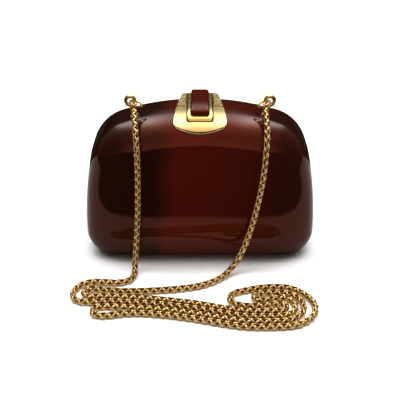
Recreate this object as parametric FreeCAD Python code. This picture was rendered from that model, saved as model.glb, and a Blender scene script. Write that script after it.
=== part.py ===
import FreeCAD, Part
import math
import os

# A hard-shell evening bag: two lacquered half shells, hinged along the base and
# held shut by a push-button clasp on the crown, with a chain strap.
# Millimetres, +Z up, front towards -Y, origin under the middle of the base.

# Outer form of the closed bag
BAG_WIDTH = 160.0
BAG_CREST = 104.0
BAG_DEPTH = 66.0
PILLOW_POWER = 4.4
PILLOW_MID_Z = 45.0
BASE_SINK = 0.8
BASE_CORNER_RADIUS = 18.0
SIDE_RADIUS = 270.0
SHOULDER_RADIUS = 28.0
CROWN_RADIUS = 186.0

# Shells, rim frames and linings
SHELL_WALL = 2.6
PARTING_GAP = 0.3
OUTER_DEPTHS = (0.32, 0.55, 0.7, 0.8, 0.88, 0.935, 0.97, 0.99)
OUTER_STEPS = (9, 5, 9, 20)
CAVITY_DEPTHS = (0.33, 0.62, 0.85, 0.96)
CAVITY_STEPS = (6, 4, 6, 12)
LINING_DEPTHS = (0.33, 0.75, 0.95)
LINING_STEPS = (4, 3, 5, 8)
FRAME_SEAT = 0.2
FRAME_THICK = 1.2
FRAME_WIDTH = 7.0
FRAME_LIP = 2.0
FRAME_GAP = 0.5
FRAME_FOOT_Z = 6.0
LINING_SEAT = 0.2
LINING_THICK = 1.0
FRONT_LINING_RIM = 0.5
FASTENER_SIDES = 8

# Hinge along the base
HINGE_AXIS_Z = 2.9
HINGE_END_GAP = 1.0
KNUCKLE_RADIUS = 2.2
KNUCKLE_COUNT = 5
KNUCKLE_GAP = 0.3
HINGE_CLEAR = 0.4
PIN_RADIUS = 0.8
PIN_FIT = 0.05
PIN_HEAD_RADIUS = 1.6
PIN_HEAD_LENGTH = 0.8
LEAF_SEAT = 0.2
LEAF_THICK = 1.0
LEAF_REACH = 10.0
SLOT_HALF = 2.9
SLOT_RISE = 0.6
RIVET_RADIUS = 1.0
RIVET_HEAD_RADIUS = 1.9
RIVET_HEAD_HEIGHT = 0.7
RIVET_Y = 6.5
RIVET_SHARES = (-0.41, -0.15, 0.15, 0.41)

# Clasp plates and bezel on the crown
PLATE_THICK = 0.8
PLATE_SEAT = 0.03
PLATE_SWEEP = 12.0
PLATE_STEPS = 8
PLATE_SETBACK = 8.5
PLATE_REAR_HALF = 12.4
PLATE_MID_HALF = 15.6
PLATE_FRONT_HALF = 17.2
PLATE_BULGE = 3.5
PLATE_CORNER = 1.6
BEZEL_RISE = 2.0
BEZEL_WIDTH = 18.1
BEZEL_FRONT_MARGIN = 1.5
BEZEL_REAR_MARGIN = 3.5
BEZEL_BAR = 2.75
BEZEL_END_BAR = 2.5
BEZEL_LIFT = 1.0
BEZEL_CORNER = 1.0
SLIDE_GAP = 0.35

# Push button
BUTTON_GAP = 0.3
BUTTON_RISE = 4.2
BUTTON_EDGE = 1.3
BUTTON_EDGE_STEPS = 3
BUTTON_SEAT = 0.05
BUTTON_CORNER = 1.8
CARRIER_LIFT = 2.0
CARRIER_THICK = 1.0
CARRIER_INSET = 0.2
STEM_RADIUS = 1.6
STEM_Y = 11.0
STEM_FIT = 0.1
SPRING_POCKET_RADIUS = 3.5
SPRING_POCKET_DEPTH = 1.6
SPRING_RADIUS = 2.7
SPRING_WIRE = 0.6
SPRING_TURNS = 3
SPRING_STEPS = 12
SPRING_END_GAP = 0.05
CLIP_RADIUS = 3.2
CLIP_THICK = 0.8
CLIP_GAP = 0.3

# Latch under the crown
LATCH_SEAT = 0.25
TONGUE_WIDTH = 8.0
TONGUE_THICK = 0.8
TONGUE_DROP = 3.4
TONGUE_FOOT = 5.5
TONGUE_REACH = 13.0
HOOK_LENGTH = 1.5
HOOK_GRIP = 0.5
HOOK_GAP = 0.5
KEEPER_HALF = 6.0
KEEPER_THICK = 1.2
KEEPER_Y = 3.3
KEEPER_CLEAR = 0.5
STEM_END_GAP = 0.3
LATCH_RIVET_RADIUS = 0.7
LATCH_RIVET_HEAD = 1.3
LATCH_RIVET_HEAD_HEIGHT = 0.5
TONGUE_RIVET_X = 2.4
KEEPER_RIVET_X = 4.0

# Clasp screws, driven from inside
SCREW_RADIUS = 1.2
SCREW_HEAD_RADIUS = 2.4
SCREW_HEAD_HEIGHT = 1.5
SCREW_BITE = 0.5
SCREW_SEAT = 0.2
SCREW_CLEAR = 2.1
FRONT_SCREW_X = 13.0
REAR_SCREW_X = 11.6
LINING_NOTCH_HALF = 18.0
LINING_NOTCH_DEPTH = 18.5
LINING_NOTCH_DROP = 12.0

# Strap ears, rings and chain
EAR_SETBACK = 36.2
EAR_Y = -3.6
EAR_SEAT = 0.03
EAR_BASE_RADIUS = 3.0
EAR_BASE_HEIGHT = 1.6
EAR_POST_RADIUS = 1.7
EAR_EYE_RISE = 11.0
EAR_EYE_RADIUS = 3.0
EAR_EYE_WIRE = 1.2
EAR_SHANK_RADIUS = 1.5
EAR_NUT_ACROSS = 5.5
EAR_NUT_HEIGHT = 2.0
EAR_NUT_SEAT = 0.2
EAR_SIDES = 16
RING_RADIUS = 4.2
RING_WIRE = 0.8
RING_TILT = math.radians(20)
RING_HANG_GAP = 0.4
LINK_RADIUS = 2.2
LINK_WIRE = 0.7
LINK_HANG = (-0.3, -0.15)
WIRE_SIDES = 6
WIRE_STEPS = 24
CHAIN_WIDTH = 4.4
CHAIN_FLOOR = 2.4
ARC_SHARE = 0.45

# Route of the chain, ear to ear: a drop, loops laid on the floor, a drop
LEFT_DROP = [
    (-43.1, -10.6, 106.4), (-42.6, -19.5, 103.0), (-41.6, -27.0, 98.0), (-40.8, -32.6, 90.0),
    (-40.4, -35.8, 79.0), (-40.5, -37.2, 65.0), (-41.0, -37.6, 50.0), (-41.9, -37.7, 35.0),
    (-42.9, -38.2, 22.0), (-43.9, -40.0, 11.5), (-44.3, -44.6, 4.2),
]
FLOOR_RUN = [
    (-44.0, -51.5), (-47.2, -57.4), (-54.5, -59.8), (-63.5, -58.6), (-71.8, -58.0), (-78.6, -61.4),
    (-82.6, -67.6), (-83.0, -74.6), (-79.4, -80.4), (-72.4, -81.6), (-60.0, -80.2), (-45.0, -81.4),
    (-30.0, -83.0), (-14.0, -85.6), (0.0, -88.8), (14.0, -92.9), (28.0, -96.6), (43.0, -96.6),
    (55.0, -95.9), (60.6, -90.0), (60.4, -81.2), (54.5, -75.0), (44.6, -78.4), (38.2, -80.4),
    (34.8, -78.0), (34.4, -73.8), (37.4, -70.8), (44.6, -71.2), (57.0, -70.4), (65.9, -79.5),
    (65.9, -92.0), (57.0, -101.0), (44.0, -101.8), (29.0, -101.9), (14.0, -98.4), (0.0, -94.2),
    (-14.0, -90.9), (-29.0, -88.4), (-45.0, -87.2), (-58.0, -85.7), (-65.0, -86.1), (-67.8, -88.9),
    (-67.8, -92.9), (-65.0, -95.7), (-57.4, -95.8), (-44.6, -92.5), (-29.0, -93.6), (-14.0, -96.2),
    (0.0, -99.6), (14.0, -103.8), (29.0, -107.1), (45.0, -107.1), (60.5, -106.0), (71.0, -97.0),
    (73.8, -86.3), (70.4, -75.2), (60.5, -65.2), (49.0, -63.9), (38.0, -65.5), (29.0, -68.7),
    (23.0, -70.4), (19.2, -74.6), (19.2, -80.4), (23.8, -84.6), (33.0, -86.0), (44.5, -84.6),
    (50.4, -82.0), (54.2, -83.8), (55.1, -87.9), (52.4, -91.1), (45.5, -91.1), (32.5, -91.5),
    (16.0, -88.3), (0.0, -83.4), (-14.0, -80.4), (-30.0, -77.7), (-48.0, -75.8), (-60.0, -75.0),
    (-66.4, -75.3), (-72.6, -76.1), (-75.7, -73.2), (-75.7, -69.0), (-72.4, -66.2), (-65.5, -67.0),
    (-52.5, -69.5), (-34.0, -68.8), (-16.0, -67.0), (-1.0, -63.8), (10.0, -57.8),
]
RIGHT_DROP = [
    (17.6, -50.6, 2.9), (23.6, -44.8, 7.0), (29.0, -41.2, 16.0), (33.2, -39.2, 28.0), (36.4, -38.2, 41.0),
    (39.0, -37.6, 54.0), (41.0, -37.0, 67.0), (42.2, -35.4, 79.5), (43.0, -32.2, 90.0),
    (43.4, -26.8, 98.0), (43.3, -19.5, 103.0), (43.1, -10.6, 106.4),
]

Vector = FreeCAD.Vector
FRONT = -1
REAR = 1
TALL = 2 * BAG_CREST

# Sizes that several pieces share
HINGE_LENGTH = BAG_WIDTH - 2 * (BASE_CORNER_RADIUS + HINGE_END_GAP)
RIVET_X = [share * HINGE_LENGTH for share in RIVET_SHARES]
PLATE_FRONT_Y = BAG_DEPTH / 2 - PLATE_SETBACK
PLATE_REAR_Y = BAG_DEPTH / 2 - PLATE_SETBACK
SCREW_Y = FRAME_LIP + FRAME_GAP + FRAME_WIDTH + SCREW_HEAD_RADIUS + SCREW_CLEAR
FRONT_SCREW = (FRONT_SCREW_X, -SCREW_Y)
REAR_SCREW = (REAR_SCREW_X, SCREW_Y)
BEZEL_FRONT_Y = PLATE_FRONT_Y - BEZEL_FRONT_MARGIN
BEZEL_REAR_Y = PLATE_REAR_Y - BEZEL_REAR_MARGIN
CAVITY_FLOOR = SHELL_WALL - BASE_SINK
LEAF_Z = CAVITY_FLOOR + LEAF_SEAT
FRAME_INSET = SHELL_WALL + FRAME_SEAT
FRAME_UNDER = BAG_CREST - FRAME_INSET - FRAME_THICK
LATCH_TOP = FRAME_UNDER - LATCH_SEAT
ARM_TOP = LATCH_TOP - TONGUE_DROP
KEEPER_FOOT = ARM_TOP + KEEPER_CLEAR
LINING_INSET = FRAME_INSET + FRAME_THICK + LINING_SEAT
BEZEL_OPENING = BEZEL_WIDTH - 2 * BEZEL_BAR
BUTTON_WIDTH = BEZEL_OPENING - 2 * BUTTON_GAP
BUTTON_FRONT_Y = BEZEL_FRONT_Y - BEZEL_END_BAR - BUTTON_GAP
BUTTON_REAR_Y = BEZEL_REAR_Y - BEZEL_END_BAR - BUTTON_GAP
BUTTON_TOP = PLATE_THICK + BUTTON_RISE
EAR_X = BAG_WIDTH / 2 - EAR_SETBACK
BEZEL_TOP = PLATE_THICK + BEZEL_RISE


def box(x0, x1, y0, y1, z0, z1):
    return Part.makeBox(x1 - x0, y1 - y0, z1 - z0, Vector(x0, y0, z0))


def upright(x, y, z0, z1, radius):
    return Part.makeCylinder(radius, z1 - z0, Vector(x, y, z0), Vector(0, 0, 1))


def prism(start, axis, length, radius, sides):
    """Rod with flats along an axis that lies in the XZ plane."""
    level = Vector(0, 1, 0)
    across = axis.cross(level)
    turns = [math.pi * (2 * k + 1) / sides for k in range(sides + 1)]
    corners = [start + level * (radius * math.cos(a)) + across * (radius * math.sin(a)) for a in turns]
    return Part.Face(Part.makePolygon(corners)).extrude(axis * length)


def stud(x, y, z0, z1, radius):
    """Shank, head or hole of a small fastener, upright."""
    return prism(Vector(x, y, z0), Vector(0, 0, 1), z1 - z0, radius, FASTENER_SIDES)


def flat_loft(sections, closed=False):
    """Solid of flat faces between sections that have the same corners in turn."""
    pairs = list(zip(sections, sections[1:]))
    faces = []
    if closed:
        pairs.append((sections[-1], sections[0]))
    else:
        faces += [Part.Face(Part.makePolygon(row + row[:1])) for row in (sections[0], sections[-1])]
    for near, far in pairs:
        for k in range(len(near)):
            corners = [near[k - 1], near[k], far[k], far[k - 1], near[k - 1]]
            faces.append(Part.Face(Part.makePolygon(corners)))
    skin = Part.makeShell(faces)
    skin.sewShape()
    solid = Part.makeSolid(skin)
    return solid if solid.Volume > 0 else solid.reversed()


# The pillow form: one outline in XZ, scaled down towards the front and rear faces


def pillow_scale(inset, y):
    ratio = abs(y) / (BAG_DEPTH / 2 - inset)
    return (1 - ratio ** PILLOW_POWER) ** (1 / PILLOW_POWER)


def ruled_scale(inset, y, depths):
    """Scale of a form that is straight between the given shares of the depth."""
    half_depth = BAG_DEPTH / 2 - inset
    stations = [0.0] + [share * half_depth for share in depths]
    for near, far in zip(stations, stations[1:]):
        if abs(y) <= far:
            part = (abs(y) - near) / (far - near)
            return (1 - part) * pillow_scale(inset, near) + part * pillow_scale(inset, far)
    return pillow_scale(inset, stations[-1])


def outline_arcs():
    """Centre, radius and end angles of the arcs on the right half of the outline."""
    corner = Vector(BAG_WIDTH / 2 - BASE_CORNER_RADIUS, 0, BASE_CORNER_RADIUS - BASE_SINK)
    side = Vector(BAG_WIDTH / 2 - SIDE_RADIUS, 0, corner.z)
    crown = Vector(0, 0, BAG_CREST - CROWN_RADIUS)
    reach_side = SIDE_RADIUS - SHOULDER_RADIUS
    reach_crown = CROWN_RADIUS - SHOULDER_RADIUS
    between = crown - side
    along = (reach_side ** 2 - reach_crown ** 2 + between.Length ** 2) / (2 * between.Length)
    across = math.sqrt(reach_side ** 2 - along ** 2)
    ahead = Vector(between).normalize()
    shoulder = side + ahead * along + Vector(-ahead.z, 0, ahead.x) * across
    side_end = math.atan2(shoulder.z - side.z, shoulder.x - side.x)
    crown_start = math.atan2(shoulder.z - crown.z, shoulder.x - crown.x)
    return [
        (corner, BASE_CORNER_RADIUS, -math.pi / 2, 0.0),
        (side, SIDE_RADIUS, 0.0, side_end),
        (shoulder, SHOULDER_RADIUS, side_end, crown_start),
        (crown, CROWN_RADIUS, crown_start, math.pi / 2),
    ]


def outline_points(inset, y, scale, steps):
    """Points of each arc in turn, from the base's right end round to its left end."""
    right = outline_arcs()
    left = [(Vector(-c.x, 0, c.z), r, math.pi - b, math.pi - a) for c, r, a, b in reversed(right[:3])]
    crown, crown_radius, start, _ = right[3]
    arcs = right[:3] + [(crown, crown_radius, start, math.pi - start)] + left
    rows = []
    for (centre, radius, first, last), count in zip(arcs, steps + steps[2::-1]):
        row = []
        for k in range(count + 1):
            angle = first + (last - first) * k / count
            x = centre.x + (radius - inset) * math.cos(angle)
            z = centre.z + (radius - inset) * math.sin(angle)
            row.append(Vector(x * scale, y, PILLOW_MID_Z + (z - PILLOW_MID_Z) * scale))
        rows.append(row)
    return rows


def outline_corners(inset, y, scale, steps):
    """The closed outline in short straight steps, moved in by inset and scaled about its middle height."""
    rows = outline_points(inset, y, scale, steps)
    return [point for row in rows for point in row[:-1]] + [rows[-1][-1]]


def pillow_half(facing, inset, depths, rim, steps):
    """Solid half of the pillow, from the rim's Y to the flat of its face."""
    half_depth = BAG_DEPTH / 2 - inset
    places = [rim] + [facing * share * half_depth for share in depths]
    return flat_loft([outline_corners(inset, y, pillow_scale(inset, y), steps) for y in places])


def crown_z(inset, x, scale):
    """Height of the crown above the floor at x, on a section of the given scale."""
    radius = CROWN_RADIUS - inset
    z = BAG_CREST - CROWN_RADIUS + math.sqrt(radius ** 2 - (x / scale) ** 2)
    return PILLOW_MID_Z + (z - PILLOW_MID_Z) * scale


def outer_z(x, y, inset=0.0):
    return crown_z(inset, x, pillow_scale(inset, y))


def seat_z(x, y):
    """Height of the shell's outside, straight between its steps."""
    return crown_z(0.0, x, ruled_scale(0.0, y, OUTER_DEPTHS))


def cavity_z(x, y):
    return crown_z(SHELL_WALL, x, ruled_scale(SHELL_WALL, y, CAVITY_DEPTHS))


def crest_curve(rise, y0, y1, level_rear=False):
    """Points along the crest over the steps of the shell below, at the given rise."""
    steps = [facing * share * BAG_DEPTH / 2 for share in (0.0,) + OUTER_DEPTHS for facing in (FRONT, REAR)]
    places = [y0] + sorted({y for y in steps if y0 < y < y1}) + [y1]
    points = []
    for y in places:
        scale = 1.0 if level_rear and y > 0 else ruled_scale(-rise, y, OUTER_DEPTHS)
        points.append(Vector(0, y, crown_z(-rise, 0, scale)))
    return points


def crest_section(lower, upper, y0, y1):
    """Corners in YZ of a strip that follows the crest below, and is level above its rear part."""
    return crest_curve(lower, y0, y1) + crest_curve(upper, y0, y1, True)[::-1]


def crest_bar(width, lower, upper, y0, y1):
    """Bar of the given width that follows the crest between two rises."""
    corners = crest_section(lower, upper, y0, y1)
    bar = Part.Face(Part.makePolygon(corners + corners[:1])).extrude(Vector(width, 0, 0))
    bar.translate(Vector(-width / 2, 0, 0))
    return bar


# Shells


def hinge_slot():
    """Slot along the base, as long as the shells lie below the hinge axis."""
    corner = BASE_CORNER_RADIUS - BASE_SINK
    drop = corner - HINGE_AXIS_Z - KNUCKLE_GAP
    reach = BAG_WIDTH / 2 - BASE_CORNER_RADIUS + math.sqrt(BASE_CORNER_RADIUS ** 2 - drop ** 2)
    return box(-reach, reach, -SLOT_HALF, SLOT_HALF, -BASE_SINK - 1, HINGE_AXIS_Z + SLOT_RISE)


def shell(facing):
    outer = pillow_half(facing, 0.0, OUTER_DEPTHS, facing * PARTING_GAP / 2, OUTER_STEPS)
    cavity = pillow_half(facing, SHELL_WALL, CAVITY_DEPTHS, -facing * PARTING_GAP, CAVITY_STEPS)
    below = box(-BAG_WIDTH, BAG_WIDTH, -BAG_DEPTH, BAG_DEPTH, -TALL, 0)
    body = outer.cut([cavity, below, hinge_slot()])
    return body.cut([stud(x, facing * RIVET_Y, -1, LEAF_Z + 1, RIVET_RADIUS) for x in RIVET_X])


def front_shell():
    body = shell(FRONT)
    cuts = [upright(0, -STEM_Y, ARM_TOP, TALL, STEM_RADIUS + STEM_FIT)]
    pocket_floor = outer_z(0, STEM_Y) - SPRING_POCKET_DEPTH
    cuts.append(upright(0, -STEM_Y, pocket_floor, TALL, SPRING_POCKET_RADIUS))
    for side in (-1, 1):
        cuts.append(ear_hole(side, EAR_SHANK_RADIUS))
        cuts.append(stud(side * FRONT_SCREW[0], FRONT_SCREW[1], PILLOW_MID_Z, TALL, SCREW_RADIUS))
    return body.cut(cuts)


def rear_shell():
    holes = [stud(side * REAR_SCREW[0], REAR_SCREW[1], PILLOW_MID_Z, TALL, SCREW_RADIUS) for side in (-1, 1)]
    return shell(REAR).cut(holes)


# Rim frames and linings


def frame_band(y0, y1):
    """Metal band that follows the inside of the rim, open at the base."""
    rows = [outline_corners(inset, y0, 1.0, CAVITY_STEPS) for inset in (FRAME_INSET, FRAME_INSET + FRAME_THICK)]
    outer, inner = [Part.Face(Part.makePolygon(row + row[:1])).extrude(Vector(0, y1 - y0, 0)) for row in rows]
    return outer.cut([inner, box(-BAG_WIDTH, BAG_WIDTH, y0 - 1, y1 + 1, -TALL, FRAME_FOOT_Z)])


def front_frame():
    band = frame_band(-FRAME_WIDTH, FRAME_LIP)
    holes = [ear_hole(side, EAR_SHANK_RADIUS) for side in (-1, 1)]
    for side in (-1, 1):
        holes.append(stud(side * KEEPER_RIVET_X, keeper_rivet_y(), ARM_TOP, TALL, LATCH_RIVET_RADIUS))
    return band.cut(holes)


def rear_frame():
    start = FRAME_LIP + FRAME_GAP
    band = frame_band(start, start + FRAME_WIDTH)
    return band.cut([stud(side * TONGUE_RIVET_X, tongue_rivet_y(), ARM_TOP, TALL, LATCH_RIVET_RADIUS)
                     for side in (-1, 1)])


def lining(facing):
    """Thin skin inside the cavity, cut away round the hinge, the clasp and the ear nuts."""
    rim = -FRONT_LINING_RIM if facing == FRONT else FRAME_LIP + FRAME_GAP
    outer = pillow_half(facing, LINING_INSET, LINING_DEPTHS, rim, LINING_STEPS)
    inner = pillow_half(facing, LINING_INSET + LINING_THICK, LINING_DEPTHS, -rim, LINING_STEPS)
    hinge_room = LEAF_REACH + 2 * RIVET_HEAD_RADIUS
    notch_foot = FRAME_UNDER - LINING_NOTCH_DROP
    cuts = [
        inner,
        box(-BAG_WIDTH, BAG_WIDTH, -hinge_room, hinge_room, -TALL, FRAME_FOOT_Z),
        box(-LINING_NOTCH_HALF, LINING_NOTCH_HALF, -LINING_NOTCH_DEPTH, LINING_NOTCH_DEPTH, notch_foot, TALL),
    ]
    if facing == FRONT:
        cuts += [ear_hole(side, EAR_NUT_ACROSS) for side in (-1, 1)]
    return outer.cut(cuts)


# Hinge


def knuckle_span(index):
    length = (HINGE_LENGTH - (KNUCKLE_COUNT - 1) * KNUCKLE_GAP) / KNUCKLE_COUNT
    start = -HINGE_LENGTH / 2 + index * (length + KNUCKLE_GAP)
    return start, start + length


def hinge_leaf(facing):
    """Flat leaf with every other knuckle: the rear leaf has the outer ones."""
    edge = KNUCKLE_RADIUS + HINGE_CLEAR
    ends = sorted((facing * edge, facing * LEAF_REACH))
    leaf = box(-HINGE_LENGTH / 2, HINGE_LENGTH / 2, ends[0], ends[1], LEAF_Z, LEAF_Z + LEAF_THICK)
    first = 0 if facing == REAR else 1
    parts = []
    for index in range(first, KNUCKLE_COUNT, 2):
        x0, x1 = knuckle_span(index)
        across = sorted((0.0, facing * (edge + HINGE_CLEAR)))
        parts.append(box(x0, x1, across[0], across[1], LEAF_Z, LEAF_Z + LEAF_THICK))
        parts.append(Part.makeCylinder(KNUCKLE_RADIUS, x1 - x0, Vector(x0, 0, HINGE_AXIS_Z), Vector(1, 0, 0)))
    leaf = leaf.fuse(parts).removeSplitter()
    bore_start = Vector(-HINGE_LENGTH / 2 - 1, 0, HINGE_AXIS_Z)
    bore = Part.makeCylinder(PIN_RADIUS + PIN_FIT, HINGE_LENGTH + 2, bore_start, Vector(1, 0, 0))
    holes = [stud(x, facing * RIVET_Y, LEAF_Z - 1, LEAF_Z + LEAF_THICK + 1, RIVET_RADIUS) for x in RIVET_X]
    return leaf.cut([bore] + holes)


def hinge_pin():
    half = HINGE_LENGTH / 2 + PIN_FIT
    along = Vector(1, 0, 0)
    pin = Part.makeCylinder(PIN_RADIUS, 2 * half, Vector(-half, 0, HINGE_AXIS_Z), along)
    left = Vector(-half - PIN_HEAD_LENGTH, 0, HINGE_AXIS_Z)
    heads = [Part.makeCylinder(PIN_HEAD_RADIUS, PIN_HEAD_LENGTH, left, along)]
    heads.append(Part.makeCylinder(PIN_HEAD_RADIUS, PIN_HEAD_LENGTH, Vector(half, 0, HINGE_AXIS_Z), along))
    return pin.fuse(heads).removeSplitter()


def hinge_rivets(facing):
    top = LEAF_Z + LEAF_THICK
    rivets = []
    for x in RIVET_X:
        shank = stud(x, facing * RIVET_Y, 0, top, RIVET_RADIUS)
        head = stud(x, facing * RIVET_Y, top, top + RIVET_HEAD_HEIGHT, RIVET_HEAD_RADIUS)
        rivets.append(shank.fuse(head).removeSplitter())
    return Part.makeCompound(rivets)


# Clasp


def plate_plan():
    """Plan of both clasp plates: sides that widen to the front, a bowed front edge."""
    rear = [Vector(side * PLATE_REAR_HALF, PLATE_REAR_Y, 0) for side in (-1, 1)]
    middle = [Vector(side * PLATE_MID_HALF, 0, 0) for side in (-1, 1)]
    front = [Vector(side * PLATE_FRONT_HALF, -PLATE_FRONT_Y, 0) for side in (-1, 1)]
    nose = Vector(0, -PLATE_FRONT_Y - PLATE_BULGE, 0)
    edges = [
        Part.LineSegment(rear[0], rear[1]).toShape(),
        Part.Arc(rear[1], middle[1], front[1]).toShape(),
        Part.Arc(front[1], nose, front[0]).toShape(),
        Part.Arc(front[0], middle[0], rear[0]).toShape(),
    ]
    prism = Part.Face(Part.Wire(edges)).extrude(Vector(0, 0, TALL))
    corners = [e for e in prism.Edges if abs(e.Vertexes[0].Point.z - e.Vertexes[-1].Point.z) > PILLOW_MID_Z]
    prism = prism.makeFillet(PLATE_CORNER, corners)
    prism.translate(Vector(0, 0, PILLOW_MID_Z))
    return prism


def clasp_plate(facing):
    """Plate bent along the crest and turned about the crown's own axis."""
    rim = facing * PARTING_GAP / 2
    reach = facing * (PLATE_REAR_Y if facing == REAR else PLATE_FRONT_Y + PLATE_BULGE)
    corners = crest_section(PLATE_SEAT, PLATE_THICK, min(rim, reach), max(rim, reach))
    centre_z = BAG_CREST - CROWN_RADIUS
    sections = []
    for k in range(PLATE_STEPS + 1):
        angle = math.radians(PLATE_SWEEP * (k / PLATE_STEPS - 0.5))
        around = [(point.z - centre_z, point.y) for point in corners]
        sections.append([Vector(r * math.sin(angle), y, centre_z + r * math.cos(angle)) for r, y in around])
    return flat_loft(sections).common(plate_plan())


def front_plate():
    half = BEZEL_OPENING / 2
    window = box(-half, half, -BUTTON_FRONT_Y - BUTTON_GAP, PARTING_GAP, PILLOW_MID_Z, TALL)
    holes = [stud(side * FRONT_SCREW[0], FRONT_SCREW[1], PILLOW_MID_Z,
                  seat_z(*FRONT_SCREW) + SCREW_BITE, SCREW_RADIUS) for side in (-1, 1)]
    return clasp_plate(FRONT).cut([window] + holes)


def rear_plate():
    half = BEZEL_WIDTH / 2 + SLIDE_GAP
    slot = box(-half, half, -PARTING_GAP, BEZEL_REAR_Y + SLIDE_GAP, PILLOW_MID_Z, TALL)
    holes = [stud(side * REAR_SCREW[0], REAR_SCREW[1], PILLOW_MID_Z,
                  seat_z(*REAR_SCREW) + SCREW_BITE, SCREW_RADIUS) for side in (-1, 1)]
    return clasp_plate(REAR).cut([slot] + holes)


def rounded_plan(width, y0, y1, radius):
    """Upright prism on a rectangle with rounded corners, centred on x = 0."""
    prism = box(-width / 2, width / 2, y0, y1, 0, TALL)
    corners = [e for e in prism.Edges if abs(e.Vertexes[0].Point.z - e.Vertexes[1].Point.z) > PILLOW_MID_Z]
    return prism.makeFillet(radius, corners)


def bezel():
    """Raised frame round the button: seated in front, held just off the rear shell."""
    seat = PLATE_THICK + PLATE_SEAT
    front = crest_bar(BEZEL_WIDTH, seat, BEZEL_TOP, -BEZEL_FRONT_Y, 0)
    rear = crest_bar(BEZEL_WIDTH, BEZEL_LIFT, BEZEL_TOP, 0, BEZEL_REAR_Y)
    whole = front.fuse(rear).removeSplitter()
    plan = rounded_plan(BEZEL_WIDTH, -BEZEL_FRONT_Y, BEZEL_REAR_Y, BEZEL_CORNER)
    opening = rounded_plan(BEZEL_OPENING, -BEZEL_FRONT_Y + BEZEL_END_BAR, BEZEL_REAR_Y - BEZEL_END_BAR,
                           BUTTON_CORNER + BUTTON_GAP)
    return whole.common(plan).cut(opening)


def clasp_screws(place):
    screws = []
    for side in (-1, 1):
        x = side * place[0]
        reach_x = place[0] + SCREW_HEAD_RADIUS
        reach_y = abs(place[1]) + SCREW_HEAD_RADIUS
        seat = cavity_z(reach_x, reach_y) - SCREW_SEAT
        shank = stud(x, place[1], seat, seat_z(*place) + SCREW_BITE, SCREW_RADIUS)
        head = stud(x, place[1], seat - SCREW_HEAD_HEIGHT, seat, SCREW_HEAD_RADIUS)
        screws.append(shank.fuse(head).removeSplitter())
    return Part.makeCompound(screws)


# Push button


def button_inlay():
    """Lacquered cap with softened upper edges, carried along the crest."""
    seat = CARRIER_LIFT + CARRIER_THICK + BUTTON_SEAT
    height = BUTTON_TOP - seat
    half = BUTTON_WIDTH / 2
    turns = [math.pi / 2 * k / BUTTON_EDGE_STEPS for k in range(BUTTON_EDGE_STEPS + 1)]
    edge = [(half - BUTTON_EDGE * (1 - math.cos(a)), height - BUTTON_EDGE * (1 - math.sin(a))) for a in turns]
    right = [(half, 0.0)] + edge
    profile = right + [(-x, up) for x, up in reversed(right)]
    path = crest_curve(seat, -BUTTON_FRONT_Y, BUTTON_REAR_Y, True)
    cap = flat_loft([[Vector(x, point.y, point.z + up) for x, up in profile] for point in path])
    return cap.common(rounded_plan(BUTTON_WIDTH, -BUTTON_FRONT_Y, BUTTON_REAR_Y, BUTTON_CORNER))


def button_carrier():
    """Tray under the cap, with the stem that reaches down to the latch."""
    width = BUTTON_WIDTH - 2 * CARRIER_INSET
    bar = crest_bar(width, CARRIER_LIFT, CARRIER_LIFT + CARRIER_THICK,
                    -BUTTON_FRONT_Y + CARRIER_INSET, BUTTON_REAR_Y - CARRIER_INSET)
    plan = rounded_plan(width, -BUTTON_FRONT_Y + CARRIER_INSET, BUTTON_REAR_Y - CARRIER_INSET, BUTTON_CORNER)
    under = outer_z(0, STEM_Y, -CARRIER_LIFT - CARRIER_THICK / 2)
    return bar.common(plan).fuse(upright(0, -STEM_Y, ARM_TOP + STEM_END_GAP, under, STEM_RADIUS)).removeSplitter()


def stem_clip():
    top = cavity_z(0, STEM_Y + CLIP_RADIUS) - CLIP_GAP
    clip = upright(0, -STEM_Y, top - CLIP_THICK, top, CLIP_RADIUS)
    return clip.cut(upright(0, -STEM_Y, ARM_TOP, TALL, STEM_RADIUS))


def button_spring():
    """Open coil of square wire between the pocket in the shell and the underside of the tray."""
    low = outer_z(0, STEM_Y) - SPRING_POCKET_DEPTH + SPRING_END_GAP + SPRING_WIRE / 2
    high = outer_z(0, STEM_Y + SPRING_RADIUS + SPRING_WIRE, -CARRIER_LIFT) - SPRING_END_GAP - SPRING_WIRE / 2
    count = SPRING_TURNS * SPRING_STEPS
    half = SPRING_WIRE / 2
    sections = []
    for k in range(count + 1):
        angle = 2 * math.pi * k / SPRING_STEPS
        z = low + (high - low) * k / count
        row = []
        for out, rise in ((1, 1), (1, -1), (-1, -1), (-1, 1)):
            radius = SPRING_RADIUS + out * half
            row.append(Vector(radius * math.cos(angle), radius * math.sin(angle) - STEM_Y, z + rise * half))
        sections.append(Part.makePolygon(row + row[:1]))
    return Part.makeLoft(sections, True, True)


# Latch


def tongue_rivet_y():
    return FRAME_LIP + FRAME_GAP + FRAME_WIDTH / 2 + TONGUE_THICK / 2


def keeper_rivet_y():
    return -(KEEPER_Y + KEEPER_THICK + FRAME_WIDTH) / 2


def strip(points, width):
    """Bent strip of metal: a YZ outline as wide as given, centred on x = 0."""
    corners = [Vector(-width / 2, y, z) for y, z in points]
    return Part.Face(Part.makePolygon(corners + corners[:1])).extrude(Vector(width, 0, 0))


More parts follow.
